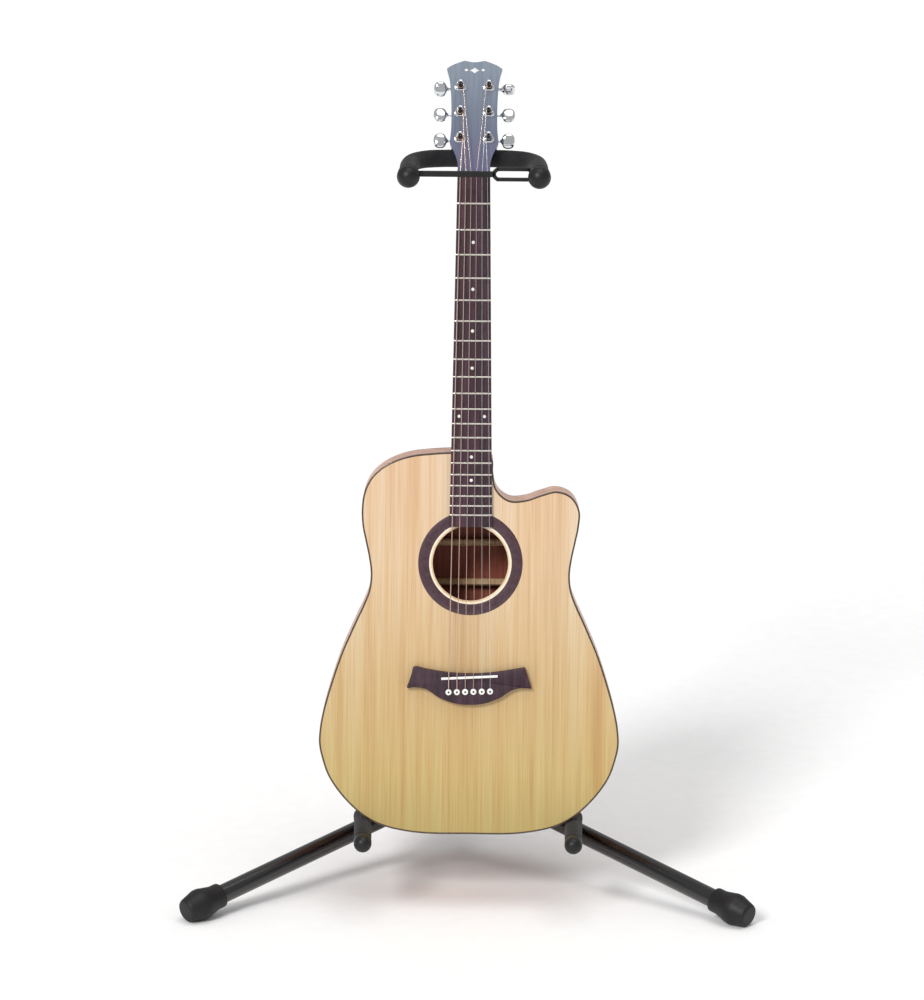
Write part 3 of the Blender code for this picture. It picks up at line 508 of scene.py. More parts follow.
def painted_floor():
    """Studio floor in flat white paint: pale and matt, with a barely seen roller tooth."""
    it = Finish("flat white floor paint", Roughness=0.9)
    tooth = it.add("TexNoise", {"Scale": 1 / (25 * MM), "Detail": 2.0, "Roughness": 0.5},
                   {"Vector": it.along()})
    colour = it.add("ValToRGB", {"stops": [(0.3, "f9f9f9"), (0.7, "fcfcfc")]}, {"Fac": tooth})
    it.tree.links.new(colour, it.shader.inputs["Base Color"])
    return it.made


SPRUCE = lacquered_spruce()
MAHOGANY = polished_mahogany()
ROSEWOOD = oiled_rosewood()
VENEER = stained_veneer()
RAW_SPRUCE = bare_wood("planed raw spruce", 2.632 * MM, 3.0, [(0.3, "b8926a"), (0.7, "dcbd92")],
                       (0.75, 0.62))
BARE_MAHOGANY = bare_wood("bare mahogany", 4.167 * MM, 4.0,
                          [(0.3, "84402f"), (0.55, "9d5340"), (0.75, "b0654f")], (0.72, 0.6))
BINDING = celluloid("dark binding celluloid", "3b2c24", "54412f", 0.3)
ROSETTE = celluloid("dark rosette inlay", "3a2129", "4b303a", 0.34)
CREAM = celluloid("cream inlay line", "ead9bf", "f4e8d2", 0.35)
BONE = celluloid("polished bone", "ece9e2", "fbfaf6", 0.28)
PEARL = celluloid("mother of pearl", "d9dcda", "f6f3ee", 0.18)
INK_DOT = celluloid("black pin inlay", "151214", "241e20", 0.3)
# Near-black colour for the capstan posts: painted shade standing in for the dark post holes.
CAPSTAN_PAINTED_SHADE = plated("capstan steel darkened as painted shade", "232326", "3c3c40", 0.3)
CHROME = plated("bright chrome plate", "c9ccd2", "f2f4f6", 0.09)
FRET_WIRE = plated("nickel silver fret wire", "c8c4ba", "ece9e0", 0.18)
BRONZE = wound_string("phosphor bronze winding", "c39c88", "f4dfd2")
PLAIN_WIRE = plated("plain steel wire", "d8d4d2", "f6f3f0", 0.3)
ENAMEL = stoved_enamel()
NYLON = moulded("moulded black nylon", "0e0e10", "18181a", 0.42, 1.923 * MM, 0.05 * MM)
RUBBER = moulded("moulded black rubber", "0f0f11", "1a1a1c", 0.5, 2.632 * MM, 0.08 * MM)
FOAM = foam_rubber()


# ---- guitar body --------------------------------------------------------------------------------
def body_outline(count=480):
    """The body's outline in the guitar's X and Z: a smooth curve through the back plate's corners,
    put in order by their angle round the sound hole."""
    mesh = frame["nodes"]["back_plate"].data
    corners = np.empty(len(mesh.vertices) * 3)
    mesh.vertices.foreach_get("co", corners)
    flat = np.unique(GUITAR.own(corners.reshape(-1, 3))[:, (0, 2)].round(5), axis=0)
    turn = np.arctan2(flat[:, 1] - HOLE_V, flat[:, 0])
    loop = flat[np.argsort(turn)]
    close = np.linalg.norm(np.roll(loop, -1, 0) - loop, axis=1) > 1 * MM
    return curved(loop[close], count, closed=True)


OUTLINE = body_outline()
TAPER = (NECK_DEPTH - TAIL_DEPTH) / BODY_LENGTH
HOLE = np.array([0, HOLE_V])


def ledge():
    """The loop inside the binding that the top and the back fill."""
    return hooped(OUTLINE, mm(2.35), [(0, 0)])[:, 0][:, (0, 2)]


def radial(loop, radius):
    """The points of a circle round the sound hole that face each point of a loop."""
    away = loop - HOLE
    return HOLE + radius * away / np.linalg.norm(away, axis=1, keepdims=True)


def soundboard():
    """Spruce plate of rings, each the blend of the hole's circle and the binding's loop by a share.

    The rings run from the hole's rounded edge out to the binding, then back beneath.
    """
    edge = ledge()
    hole = radial(edge, HOLE_RADIUS)
    shares = (0, 0, 0.003, 0.02, 0.1, 0.3, 0.55, 0.8, 0.97, 1, 1, 0.6, 0.2, 0.003)
    depths = mm(2.6, 0.5, 0.08, 0, 0, 0, 0, 0, 0, 0, 2.8, 2.8, 2.8, 2.8)
    flats = [hole * (1 - share) + edge * share for share in shares]
    rings = [np.insert(flat, 1, depth, axis=1) for flat, depth in zip(flats, depths)]
    solid("soundboard_top", GUITAR.at(np.stack(rings)), SPRUCE, "guitar", ("soundboard",),
          wrap=True)


def hoop(name, section, back_edge, finish, replaces=()):
    """A strip round the body: a section of (inset, depth) in millimetres carried round the outline.

    Depths count from the top, or from the tapering back edge where back_edge is set for a point.
    """
    depth = [(TAIL_DEPTH + y * MM, TAPER) if from_back else (y * MM, 0)
             for (_, y), from_back in zip(section, back_edge)]
    grid = hooped(OUTLINE, mm(*(inset for inset, _ in section)), depth)
    solid(name, GUITAR.at(grid), finish, "guitar", replaces, wrap=True)


def rims():
    """Bent sides with a dark binding let into the front and the back edge, and the lining."""
    hoop("bent_sides", [(0.05, 6.1), (0.05, -4.6), (2.4, -4.6), (2.4, 6.1)], (False, True, True, False),
         MAHOGANY, ("sides",))
    hoop("front_binding", [(0, 6.0), (0, 0.9), (0.25, 0.25), (0.9, 0), (2.3, 0), (2.3, 6.0)],
         [False] * 6, BINDING, ("binding",))
    hoop("back_binding", [(0, -4.6), (0, -0.9), (0.25, -0.25), (0.9, 0), (2.3, 0), (2.3, -4.6)],
         [True] * 6, BINDING)
    hoop("kerfed_lining", [(2.5, 3.2), (8.5, 3.2), (4.5, 15), (2.5, 17)], [False] * 4, RAW_SPRUCE)


def back():
    """The back: each ring is the edge loop shrunk to a share about the middle spot.

    It bulges out by a parabola, 4 mm times one less the share squared.
    """
    edge = ledge()
    centre = np.array([0, 245 * MM])
    bulge = 4 * MM
    shares = np.linspace(0.005, 1, 14)
    for name, finish, thick, shift, nodes in (
            ("back_outside", MAHOGANY, 1.3 * MM, 0.0, ("back_plate",)),
            ("back_inside", BARE_MAHOGANY, 1.2 * MM, -1.45 * MM, ())):
        rings = []
        for layer, order in ((0.0, shares), (-thick, shares[::-1])):
            for share in order:
                flat = centre * (1 - share) + edge * share
                depth = TAIL_DEPTH + TAPER * flat[:, 1] + bulge * (1 - share ** 2) + shift + layer
                rings.append(np.stack([flat[:, 0], depth, flat[:, 1]], -1))
        solid(name, GUITAR.at(np.stack(rings)), finish, "guitar", nodes)


def ring_inlay(name, inner, outer, finish):
    """A flat ring round the sound hole, let in and standing a tenth of a millimetre proud."""
    profile = mm((inner, 0.4), (inner, -0.06), (inner + 0.1, -0.1), (outer - 0.1, -0.1),
                 (outer, -0.06), (outer, 0.4))
    grid = turned(profile, 128)[:, :, (0, 2, 1)] + np.array([0, 0, HOLE_V])
    solid(name, GUITAR.at(grid), finish, "guitar", wrap=True)


def rosette():
    """A dark band, and a pale line just inside it."""
    ring_inlay("rosette_line", 51.6, 54.1, CREAM)
    ring_inlay("rosette_band", 54.3, 68.7, ROSETTE)


def back_braces():
    """Four low rungs across the inside of the back, with scooped ends.

    A rung's height is 12 mm times the root of one less the sixth power of the share along it.
    """
    section = np.array([(-4.5, 0), (-4.5, 0.8), (-2.5, 1), (2.5, 1), (4.5, 0.8), (4.5, 0)])
    share = np.linspace(-1, 1, 25)
    tall = 12 * MM * np.sqrt(np.clip(1 - np.abs(share) ** 6, 0.02, 1))
    for number, (v, half) in enumerate(mm((130, 160), (215, 148), (326, 116), (379, 112))):
        base = TAIL_DEPTH + TAPER * v - 3.2 * MM
        x, z = np.broadcast_arrays((share * half)[:, None], v + section[:, 0] * MM)
        grid = np.stack([x, base - tall[:, None] * section[:, 1], z], -1)
        solid(f"back_rung_{number}", GUITAR.at(grid), RAW_SPRUCE, "guitar",
              ("back_bracing",) if number == 0 else ())


soundboard()
rims()
back()
rosette()
back_braces()


# ---- neck, board and bridge ---------------------------------------------------------------------
def board_half(v):
    """Half the fretboard's width at a height v."""
    return 0.5 * (NUT_WIDTH + (BOARD_END_WIDTH - NUT_WIDTH) * (NUT_V - v) / (NUT_V - BOARD_END_V))


def camber(x):
    """How far the board's face falls away to its sides: the square over twice the camber radius."""
    return x ** 2 / (2 * BOARD_CAMBER)


def fret_v(number):
    """The height of a fret: each stops the string at half its length per twelve."""
    return NUT_V - SCALE_LENGTH * (1 - 2 ** (-number / 12))


def neck():
    """A D section lofted up the neck, and the dark cap on the heel.

    Across it goes half the board's width times the cosine of an angle, and back the depth times a
    power of its sine; depth and narrowing are smooth curves through values down the heel.
    """
    rise = mm(0.5, 4, 8, 13, 18, 24, 31, 39, 50, 66, 90, 200, 330, 352, 362, 369)
    depth = mm(91, 89, 84, 73, 61, 49, 38, 30.5, 25, 22.5, 21, 18.6, 16.4, 16, 16.6, 19)
    width = np.array([0.62, 0.64, 0.68, 0.76, 0.84, 0.9, 0.95, 0.98, 1, 1, 1, 1, 1, 1, 1, 1])
    v = mm(*np.linspace(0.5, 90, 46), *np.linspace(96, 369, 40))
    path = curved(np.stack([rise, depth, width], -1), 400)
    depth = np.interp(v, path[:, 0], path[:, 1])
    share = np.interp(v, path[:, 0], path[:, 2])
    angle = np.linspace(0, math.pi, 28)
    half = board_half(BODY_LENGTH + v)[:, None]
    narrow = 1 - (1 - share[:, None]) * np.sin(angle) ** 1.2
    x = half * np.cos(angle) * narrow
    y = depth[:, None] * np.sin(angle) ** 0.78
    z = np.broadcast_to((BODY_LENGTH + v)[:, None], x.shape)
    solid("neck_shaft", GUITAR.at(np.stack([x, y, z], -1)), MAHOGANY, "guitar", ("neck",))
    outline = mm((0, 0.4), (15, 0.4), (15.5, 6), (13, 12), (7, 17), (0, 18.4), (-7, 17), (-13, 12),
                 (-15.5, 6), (-15, 0.4))
    loop = curved(outline, 60, closed=True) + np.array([0, BODY_LENGTH])
    levels = mm((0.4, 83), (0, 84), (0, 91.6), (0.8, 92.4))
    solid("heel_cap", GUITAR.at(plate_grid(loop, levels)), BINDING, "guitar")


def headstock():
    """The flared head: one outline lofted through its thickness, under a thin stained veneer."""
    right = [(21.6, -1), (21.5, 12), (25.4, 25), (31.6, 37.5), (31.2, 47), (30.2, 60), (30.1, 84),
             (30.8, 104), (32.6, 123), (36.6, 138.6), (31, 142.6), (22, 146.6), (13.5, 149.6)]
    points = right + [(0, 147.6)] + [(-x, z) for x, z in reversed(right)]
    loop = np.concatenate([curved(points[:10], 46)[:-1], curved(points[9:13], 16)[:-1],
                           curved(points[12:15], 12)[:-1], curved(points[14:18], 16)[:-1],
                           curved(points[17:], 46)]) * MM
    core = [(0.6, HEAD_THICKNESS / MM), (0, HEAD_THICKNESS / MM - 0.8), (0, 1.5), (0, 1.35)]
    solid("headstock_core", HEAD.at(plate_grid(loop, mm(*core))), VENEER,
          "guitar")
    face = [(0, 1.3), (0, 0.3), (0.3, 0)]
    solid("headstock_veneer", HEAD.at(plate_grid(loop, mm(*face))), VENEER,
          "guitar")


def lozenge(name, x, z, width, height):
    """A pearl lozenge with hollow sides: its reach at an angle is one over the 1.25th power of the
    sum of the 0.8th powers of cosine and sine."""
    angle = np.linspace(0, TAU, 32, endpoint=False)
    reach = 1 / (np.abs(np.cos(angle)) ** 0.8 + np.abs(np.sin(angle)) ** 0.8) ** 1.25
    loop = np.stack([x + width / 2 * reach * np.cos(angle), z + height / 2 * reach * np.sin(angle)], -1)
    solid(name, HEAD.at(plate_grid(loop, mm((0, 0.2), (0, -0.08), (0.1, -0.12)))), PEARL, "guitar")


def fretboard():
    """A board of sections whose face falls by its camber, square at its end, with 20 crowned frets."""
    across = np.linspace(-1, 1, 17)
    rows = []
    for v in np.linspace(BOARD_END_V, NUT_V, 30):
        half = board_half(v)
        x = across * (half - 0.3 * MM)
        top = np.stack([x, BOARD_TOP + camber(x)], -1)
        sides = [(half, top[-1, 1] + 0.4 * MM), (half, -0.2 * MM), (-half, -0.2 * MM),
                 (-half, top[0, 1] + 0.4 * MM)]
        section = np.vstack([top, sides])
        rows.append(np.stack([section[:, 0], section[:, 1], np.full(len(section), v)], -1))
    solid("fingerboard", GUITAR.at(np.stack(rows)), ROSEWOOD, "guitar", ("fretboard",))
    crown = mm(*((1.05 * math.cos(a), -0.95 * math.sin(a) ** 0.8) for a in np.linspace(0, math.pi, 9)),
               (-0.9, 0.3), (0.9, 0.3))
    drop = mm(0.5, 0.1, *[0] * 9, 0.1, 0.5)
    for number in range(1, 21):
        half = board_half(fret_v(number)) - 0.25 * MM
        x = np.linspace(-half, half, len(drop))
        y = BOARD_TOP + camber(x) + drop
        across, up = np.broadcast_arrays(x[:, None], fret_v(number) + crown[:, 0])
        grid = np.stack([across, y[:, None] + crown[:, 1], up], -1)
        solid(f"fret_{number:02d}", GUITAR.at(grid), FRET_WIRE, "guitar")


def dots():
    """Pearl position dots, two of them at the octave."""
    marks = [(n, 0.0) for n in (3, 5, 7, 9, 15, 17)] + [(12, -16.5 * MM), (12, 16.5 * MM)]
    disc = turned(mm((2.1, -0.4), (2.1, 0.02), (1.9, 0.07)), 32)
    for place, (number, x) in enumerate(marks):
        v = (fret_v(number) + fret_v(number - 1)) / 2
        grid = np.stack([disc[..., 0] + x, BOARD_TOP + camber(x) - disc[..., 2], disc[..., 1] + v], -1)
        solid(f"position_dot_{place}", GUITAR.at(grid), PEARL, "guitar")


def nut():
    """A bone nut with a rounded crown; its notches are bell curves 0.55 mm wide under the strings."""
    half = NUT_WIDTH / 2
    x = np.linspace(-half, half, 173)
    strings = (np.arange(6) - 2.5) * NUT_PITCH
    notch = np.exp(-((x[:, None] - strings[None]) / (0.55 * MM)) ** 2).sum(1)
    top = -8.6 * MM + 0.9 * MM * notch + 0.4 * MM * (np.abs(x) > half - 0.2 * MM)
    profile = [(0, 0.0, 0), (0, 1.0, 0.7), (0.7, 1.0, 0), (3.0, 1.0, 0.35), (3.9, 1.0, 1.2), (4.1, 0.0, 0)]
    rows = [np.stack([x, top * up + drop * MM, np.full(len(x), NUT_V + 0.3 * MM + z * MM)], -1)
            for z, up, drop in profile]
    solid("bone_nut", GUITAR.at(np.stack(rows, 1)), BONE, "guitar", ("nut",))


def bridge():
    """The batwing bridge: its outline lofted up to a rolled edge; the slanting saddle; six pins."""
    right = np.array([(0, -38.5), (11, -38), (22, -36), (33, -32.2), (42, -28), (50, -22.4),
                      (57, -18.4), (66, -16.2), (74, -15.9), (82, -16.6), (79.2, -8), (76, 2),
                      (72.5, 11.5), (58, 9), (44, 6.6), (30, 4.6), (16, 3.4), (0, 3)])
    left = right[::-1][1:-1] * np.array([-1, 1])
    runs = [curved(right[:10], 50)[:-1], curved(right[9:13], 14)[:-1],
            curved(np.vstack([right[12:], left[:6]]), 70)[:-1], curved(left[5:9], 14)[:-1],
            curved(np.vstack([left[8:], right[:1]]), 50)[:-1]]
    loop = np.concatenate(runs) * MM + np.array([0, SADDLE_V])
    levels = [(0, -0.05), (0, -7.4), (0.2, -8.2), (0.7, -8.8), (1.3, -9.0)]
    solid("bridge_bar", GUITAR.at(plate_grid(loop, mm(*levels))), ROSEWOOD,
          "guitar", ("bridge",))
    reach = 37 * MM
    x = np.linspace(-reach, reach, 60)
    crown = -12.25 * MM + (x / reach) ** 2 * 0.5 * MM
    shape = [(-1.5, 0.0, -2.0), (-1.5, 1.0, 0.5), (-0.9, 1.0, 0.08), (0, 1.0, 0), (0.9, 1.0, 0.08),
             (1.5, 1.0, 0.5), (1.5, 0.0, -2.0)]
    rows = [np.stack([x, crown * up + drop * MM, SADDLE_V - 2 * MM + z * MM + SADDLE_SLANT * x], -1)
            for z, up, drop in shape]
    solid("bone_saddle", GUITAR.at(np.stack(rows, 1)), BONE, "guitar", ("saddle",))
    for index in range(6):
        x = (index - 2.5) * SADDLE_PITCH
        spot = GUITAR.inside((x, -9.0 * MM, PIN_V + SADDLE_SLANT / 2 * x), rotation(math.pi / 2, "X"))
        head = [(2.4, -4), (2.4, 0.0), (4.0, 0.3), (4.2, 1.2), (3.7, 2.5), (2.4, 3.2), (1.45, 3.35)]
        solid(f"bridge_pin_{index + 1}", spot.at(turned(mm(*head), 32)), BONE,
              "guitar")
        dot = [(1.4, 3.0), (1.4, 3.4), (1.0, 3.52), (0.3, 3.55)]
        solid(f"bridge_pin_dot_{index + 1}", spot.at(turned(mm(*dot), 20)),
              INK_DOT, "guitar")


neck()
headstock()
lozenge("head_inlay_middle", 0, 136.5 * MM, 13 * MM, 8 * MM)
lozenge("head_inlay_left", -11 * MM, 137 * MM, 6 * MM, 4 * MM)
lozenge("head_inlay_right", 11 * MM, 137 * MM, 6 * MM, 4 * MM)
fretboard()
dots()
nut()
bridge()


# ---- strings and tuners -------------------------------------------------------------------------
def string(index):
    """A taut wire from its pin over saddle and nut, then a helix of 2.4 turns round its post."""
    radius = STRING_RADII[index] * MM
    place = index - 2.5
    side = -1 if index < 3 else 1
    post = POST_HEIGHTS[index if index < 3 else 5 - index]
    x = place * SADDLE_PITCH
    start = [(x, -8.8 * MM, PIN_V + 2.6 * MM), (x, -10.4 * MM, PIN_V + 6 * MM),
             (x, -12.1 * MM - radius, SADDLE_V - 4.5 * MM + SADDLE_SLANT * x)]
    over = [(x, -12.4 * MM - radius, SADDLE_V - 2 * MM + SADDLE_SLANT * x)]
    at_nut = [(place * NUT_PITCH, -8.5 * MM - radius, NUT_V + 0.5 * MM),
              (place * NUT_PITCH, -8.4 * MM - radius, NUT_V + 3.6 * MM)]
    wrap = 3 * MM + radius
    angle = np.linspace(0, 2.4 * TAU, 60)
    turn = -side * angle + (0 if side < 0 else math.pi)
    coil = np.stack([side * POST_OFFSET + wrap * np.cos(turn), -7.5 * MM + 2.2 * radius * angle / TAU,
                     post + wrap * np.sin(turn)], -1)
    path = np.vstack([curved(start + over, 12), np.linspace(over[0], at_nut[0], 24)[1:],
                      [at_nut[1]], GUITAR.own(HEAD.at(coil))])
    grid = carried(path, circle(radius, 10), up=(1, 0.02, 0))
    finish = BRONZE if index < 4 else PLAIN_WIRE
    solid(f"string_wire_{index + 1}", GUITAR.at(grid), finish, "guitar",
          (f"string_{index + 1}",))


def tuner(word, side, index, spin):
    """One machine head: three-cornered bushing, capstan post, gear housing, screw and button.

    The button is a rounded-square section, its width and thickness smooth curves along the shaft.
    """
    height = POST_HEIGHTS[index]
    face = HEAD.inside((side * POST_OFFSET, 0, height), rotation(math.pi / 2, "X"))
    washer = turned([(7.7, 0.02), (7.7, 0.9), (7.3, 1.6), (6.6, 2.1), (5.5, 2.3), (4.7, 2.1), (4.5, 0.6),
                     (3.4, 0.4), (3.4, 0.05)], 60) * MM
    angle = np.arctan2(washer[..., 1], washer[..., 0])
    outer = np.hypot(washer[..., 0], washer[..., 1]) > 5 * MM
    washer[..., :2] *= (1 + 0.15 * np.cos(3 * (angle - math.pi / 2)) * outer)[..., None]
    solid(f"tuner_bushing_{word}_{index + 1}", face.at(washer), CHROME, "guitar", wrap=True)
    post = [(2.9, -15), (2.95, 5.2), (2.55, 7.2), (2.5, 8.6), (2.95, 11.0), (3.0, 13.4), (2.6, 14.3),
            (1.7, 14.5), (1.5, 13.2), (0.3, 13.0)]
    # The capstan post takes the near-black painted shade colour.
    solid(f"capstan_{word}_{index + 1}", face.at(turned(mm(*post), 32)),
          CAPSTAN_PAINTED_SHADE, f"post_{word}_{index + 1}", (f"post_{word}_{index + 1}",))
    back_y = HEAD_THICKNESS + 0.2 * MM
    house = HEAD.inside((side * POST_OFFSET, back_y, height), rotation(-math.pi / 2, "X"))
    levels = [(1.0, 0), (1.0, 4.6), (0.94, 6.6), (0.8, 7.9), (0.5, 8.3)]
    section = soft_box(15 * MM, 17 * MM, 4.5 * MM)
    rows = np.stack([np.insert(section * share, 2, h * MM, axis=1) for share, h in levels])
    solid(f"gear_housing_{word}_{index + 1}", house.at(rows), CHROME, "guitar")
    screw = turned([(2.0, 8.2), (2.0, 8.7), (1.6, 9.2), (0.2, 9.3)], 24) * MM
    solid(f"gear_screw_{word}_{index + 1}", house.at(screw), CHROME, "guitar")
    shaft = HEAD.inside((side * (POST_OFFSET + 7.5 * MM), back_y + 4 * MM, height),
                        rotation(side * math.pi / 2, "Y") @ rotation(spin, "Z"))
    length = np.array([0, 1.2, 1.3, 3, 3.4, 6, 8.4, 9.2, 9.8, 10.8, 12.6, 15.6, 19.4, 23, 25.6, 27, 27.5])
    wide = np.array([3.4, 3.4, 2.1, 2.1, 1.9, 1.9, 1.9, 2.8, 3.2, 5.2, 8.2, 9.8, 10, 9.3, 7.2, 4.0, 0.4])
    thick = np.array([3.4, 3.4, 2.1, 2.1, 1.9, 1.9, 1.9, 2.8, 2.9, 3.3, 3.9, 4.3, 4.4, 4.2, 3.5, 2.3, 0.3])
    smooth = curved(np.stack([length, wide, thick], -1), 56)
    a = np.linspace(0, TAU, 32, endpoint=False)
    shape = np.sign(np.cos(a)) * np.abs(np.cos(a)) ** 0.8, np.sign(np.sin(a)) * np.abs(np.sin(a)) ** 0.8
    grid = np.stack([smooth[:, 1:2] * shape[0], smooth[:, 2:3] * shape[1],
                     np.broadcast_to(smooth[:, :1], (56, 32))], -1) * MM
    solid(f"tuner_button_{word}_{index + 1}", shaft.at(grid), CHROME, f"button_{word}_{index + 1}",
          (f"button_{word}_{index + 1}",), crease=60)


def tuner_strips():
    """A thin chrome foot plate under each row of gear housings."""
    middle = (POST_HEIGHTS[0] + POST_HEIGHTS[2]) / 2
    for side, word in ((-1, "bass"), (1, "treble")):
        loop = soft_box(14.6 * MM, POST_HEIGHTS[2] - POST_HEIGHTS[0] + 16 * MM, 5 * MM)
        loop = loop + np.array([side * POST_OFFSET, middle])
        levels = [(0, HEAD_THICKNESS + 0.05 * MM), (0, HEAD_THICKNESS + 0.9 * MM),
                  (0.3 * MM, HEAD_THICKNESS + 1.1 * MM)]
        solid(f"tuner_foot_{word}", HEAD.at(plate_grid(loop, levels)), CHROME, "guitar",
              (f"tuner_plate_{word}",))


for number in range(6):
    string(number)
BUTTON_SPINS = {"bass": (0.1, 0.3, -0.25), "treble": (0.2, -0.3, 1.15)}
for word, side in (("bass", -1), ("treble", 1)):
    for index in range(3):
        tuner(word, side, index, BUTTON_SPINS[word][index])
tuner_strips()


# ---- stand --------------------------------------------------------------------------------------
def leg(side):
    """A round tube crimped flat at its inner end for the fork, and its bulbed rubber foot.

    Across and up the tube go its two half widths times powers of cosine and sine: 1 where it is
    round, down to 0.55 where it is crimped square.
    """
    drop = math.atan2(HUB_HEIGHT - FOOT_RADIUS + FOOT_FLAT, LEG_REACH)
    pivot = Place(joint_at[f"{side}_leg_fold"],
                  rotation(math.radians(LEG_TURNS[side]), "Z") @ rotation(drop, "X"))
    length = (LEG_REACH - LEG_PIVOT_REACH) / math.cos(drop)
    run = np.append(mm(-9.2, -9, -7.5, -4, 0, 6, 12, 17, 22, 27, 33, 60), length - 5 * MM)
    wide = mm(3, 7.2, 7.45, 7.45, 7.45, 7.45, 7.6, 8.8, 10.8, 12.1, 12.5, 12.5, LEG_RADIUS / MM)
    tall = mm(2, 4.6, 7.6, 9.4, 10, 10.2, 10.6, 11.2, 11.9, 12.4, 12.5, 12.5, LEG_RADIUS / MM)
    angle = np.linspace(0, TAU, 48, endpoint=False)
    power = 1 - 0.45 * np.clip((33 * MM - run) / (20 * MM), 0, 1)[:, None]
    x = wide[:, None] * np.sign(np.cos(angle)) * np.abs(np.cos(angle)) ** power
    z = tall[:, None] * np.sign(np.sin(angle)) * np.abs(np.sin(angle)) ** power
    y = np.broadcast_to(-run[:, None], x.shape)
    solid(f"leg_tube_{side}", pivot.at(np.stack([x, y, z], -1)), ENAMEL, f"{side}_leg",
          (f"leg_{side}",))
    profile = [(12.7, -30), (12.7, -33), (15.3, -33.2), (16.2, -32.7), (16.5, -31.6), (16.6, -21.6),
               (16.9, -20.2), (20.3, -5.6), (20.8, -4.2), (21, -2.4), (21, 2.6), (20.8, 4.2), (20.2, 6),
               (16.2, 20.6), (15.6, 22.4), (14.6, 24), (13.2, 24.9), (11.4, 25.1), (0.4, 25.1)]
    bulb = Place(pivot.at((0, -length, 0)), pivot.turn @ rotation(math.pi / 2, "X"))
    points = bulb.at(turned(mm(*profile), 64))
    points[..., 2] = np.maximum(points[..., 2], 0.0)
    solid(f"rubber_foot_{side}", points, RUBBER, f"{side}_leg", (f"foot_{side}",))


def straight_tube(name, radius, bore, low, high, body, node):
    """An upright tube on the shaft line with eased rims."""
    ease = 0.4 * MM
    profile = [(bore, low + ease), (bore + ease, low), (radius - ease, low), (radius, low + ease),
               (radius, high - ease), (radius - ease, high), (bore + ease, high), (bore, high - ease)]
    solid(name, STAND.at(turned(profile, 48)), ENAMEL, body, (node,), wrap=True)


def shaft():
    """Lower and upper tube, the clutch collar and its lobed knob."""
    for name, node, radius, bore, body in (("lower_shaft", "lower_tube", 12.5, 10, "stand"),
                                           ("upper_shaft", "upper_tube", 9.5, 8.3, "mast")):
        low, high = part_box(node)
        straight_tube(name, radius * MM, bore * MM, low[2], high[2], body, node)
    low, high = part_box("height_knob")
    middle = (low[2] + high[2]) / 2
    spot = Place((0, low[1], middle), rotation(-math.pi / 2, "X"))
    profile = [(5, -3), (5, 0.2), (11, 0.6), (15.6, 2.4), (17.2, 5), (17.4, 13), (16.2, 16.6), (13, 18.6),
               (7, 19.6), (0.4, 19.8)]
    grid = turned(mm(*profile), 96, lobes=8, lobe_depth=0.035)
    solid("clamp_knob_grip", spot.at(grid), NYLON, "clamp_knob", ("height_knob",), crease=50)
    low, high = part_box("height_clutch")
    top = high[2]
    profile = [(12.9, -44), (14.6, -44), (15.6, -43), (17, -40), (17.2, -39), (17.2, -30), (16.7, -29.2),
               (16.7, -18), (17.2, -17), (17.2, -5), (16.4, -2.4), (14, -0.3), (12.6, 0), (9.9, -0.2),
               (9.9, -9), (12.9, -9.4)]
    collar = STAND.inside((0, 0, top))
    solid("clutch_collar", collar.at(turned(mm(*profile), 64)), NYLON, "stand",
          ("height_clutch",), wrap=True)
    boss = Place((0, HUB_Y, middle), rotation(-math.pi / 2, "X"))
    profile = [(8.6, 15.5), (8.6, 22.5), (7.8, 23.6), (5.2, 24)]
    solid("clutch_boss", boss.at(turned(mm(*profile), 40)), NYLON, "stand")


CRADLE_HALF = [(0, -25, 136), (28, -25, 136), (78, -32, 132), (118, -54, 118), (138, -88, 102),
               (141.5, -126, 94.2), (140, -180, 98.9), (139, -232, 108.2), (138.5, -265, 109.6),
               (138, -298, 107.5)]


def foam_sleeve(name, path, nodes, body, up):
    """A foam sleeve: a tube whose radius ripples by under one per cent as two sines of its length,
    and rounds in at each end over 2.2 mm as a quarter circle does."""
    share = np.linspace(0, 1, len(path))
    length = np.linalg.norm(np.diff(path, axis=0), axis=1).sum()
    run = share * length
    ripple = 1 + 0.006 * np.sin(run / (31 * MM) * TAU) + 0.004 * np.sin(run / (13 * MM))
    near = np.minimum(run, length - run)
    shoulder = np.sqrt(np.clip(1 - (1 - np.clip(near / (2.2 * MM), 0, 1)) ** 2, 0, 1))
    radius = FOAM_RADIUS * (0.84 + 0.16 * shoulder) * ripple
    made = solid(name, STAND.at(carried(path, circle(1, 48), up=up, scale=radius)), FOAM, body,
                 nodes, crease=70)


def cradle():
    """The bent cradle tube with a foam sleeve and a round cap on each arm."""
    half = np.array(CRADLE_HALF, float) * MM
    whole = np.vstack([half[::-1] * np.array([-1, 1, 1]), half[1:]])
    path = curved(whole, 220)
    solid("cradle_bow", STAND.at(carried(path, circle(CRADLE_TUBE_RADIUS, 32))), ENAMEL, "stand",
          ("cradle_tube",))
    for side, sign in (("left", -1), ("right", 1)):
        arm = path[(np.sign(path[:, 0]) == sign) & (path[:, 1] < -139 * MM)]
        if sign < 0:
            arm = arm[::-1]
        sleeve = curved(arm, 120)
        foam_sleeve(f"cradle_sleeve_{side}", sleeve[:-8], (f"cradle_foam_{side}",), "stand", (0, 0, 1))
        aim = sleeve[-1] - sleeve[-6]
        turn = np.array(Vector(aim).to_track_quat("Z", "Y").to_matrix())
        cap = STAND.inside(sleeve[-1], turn)
        profile = [(8.2, -10.5), (10.4, -10.5), (11.4, -9.8), (11.7, -8.6), (11.7, 0), (11.2, 3.2),
                   (9.6, 6.8), (7, 9.4), (3.6, 10.9), (0.4, 11.2)]
        solid(f"cradle_end_{side}", cap.at(turned(mm(*profile), 48)), NYLON,
              "stand", (f"cradle_cap_{side}",))


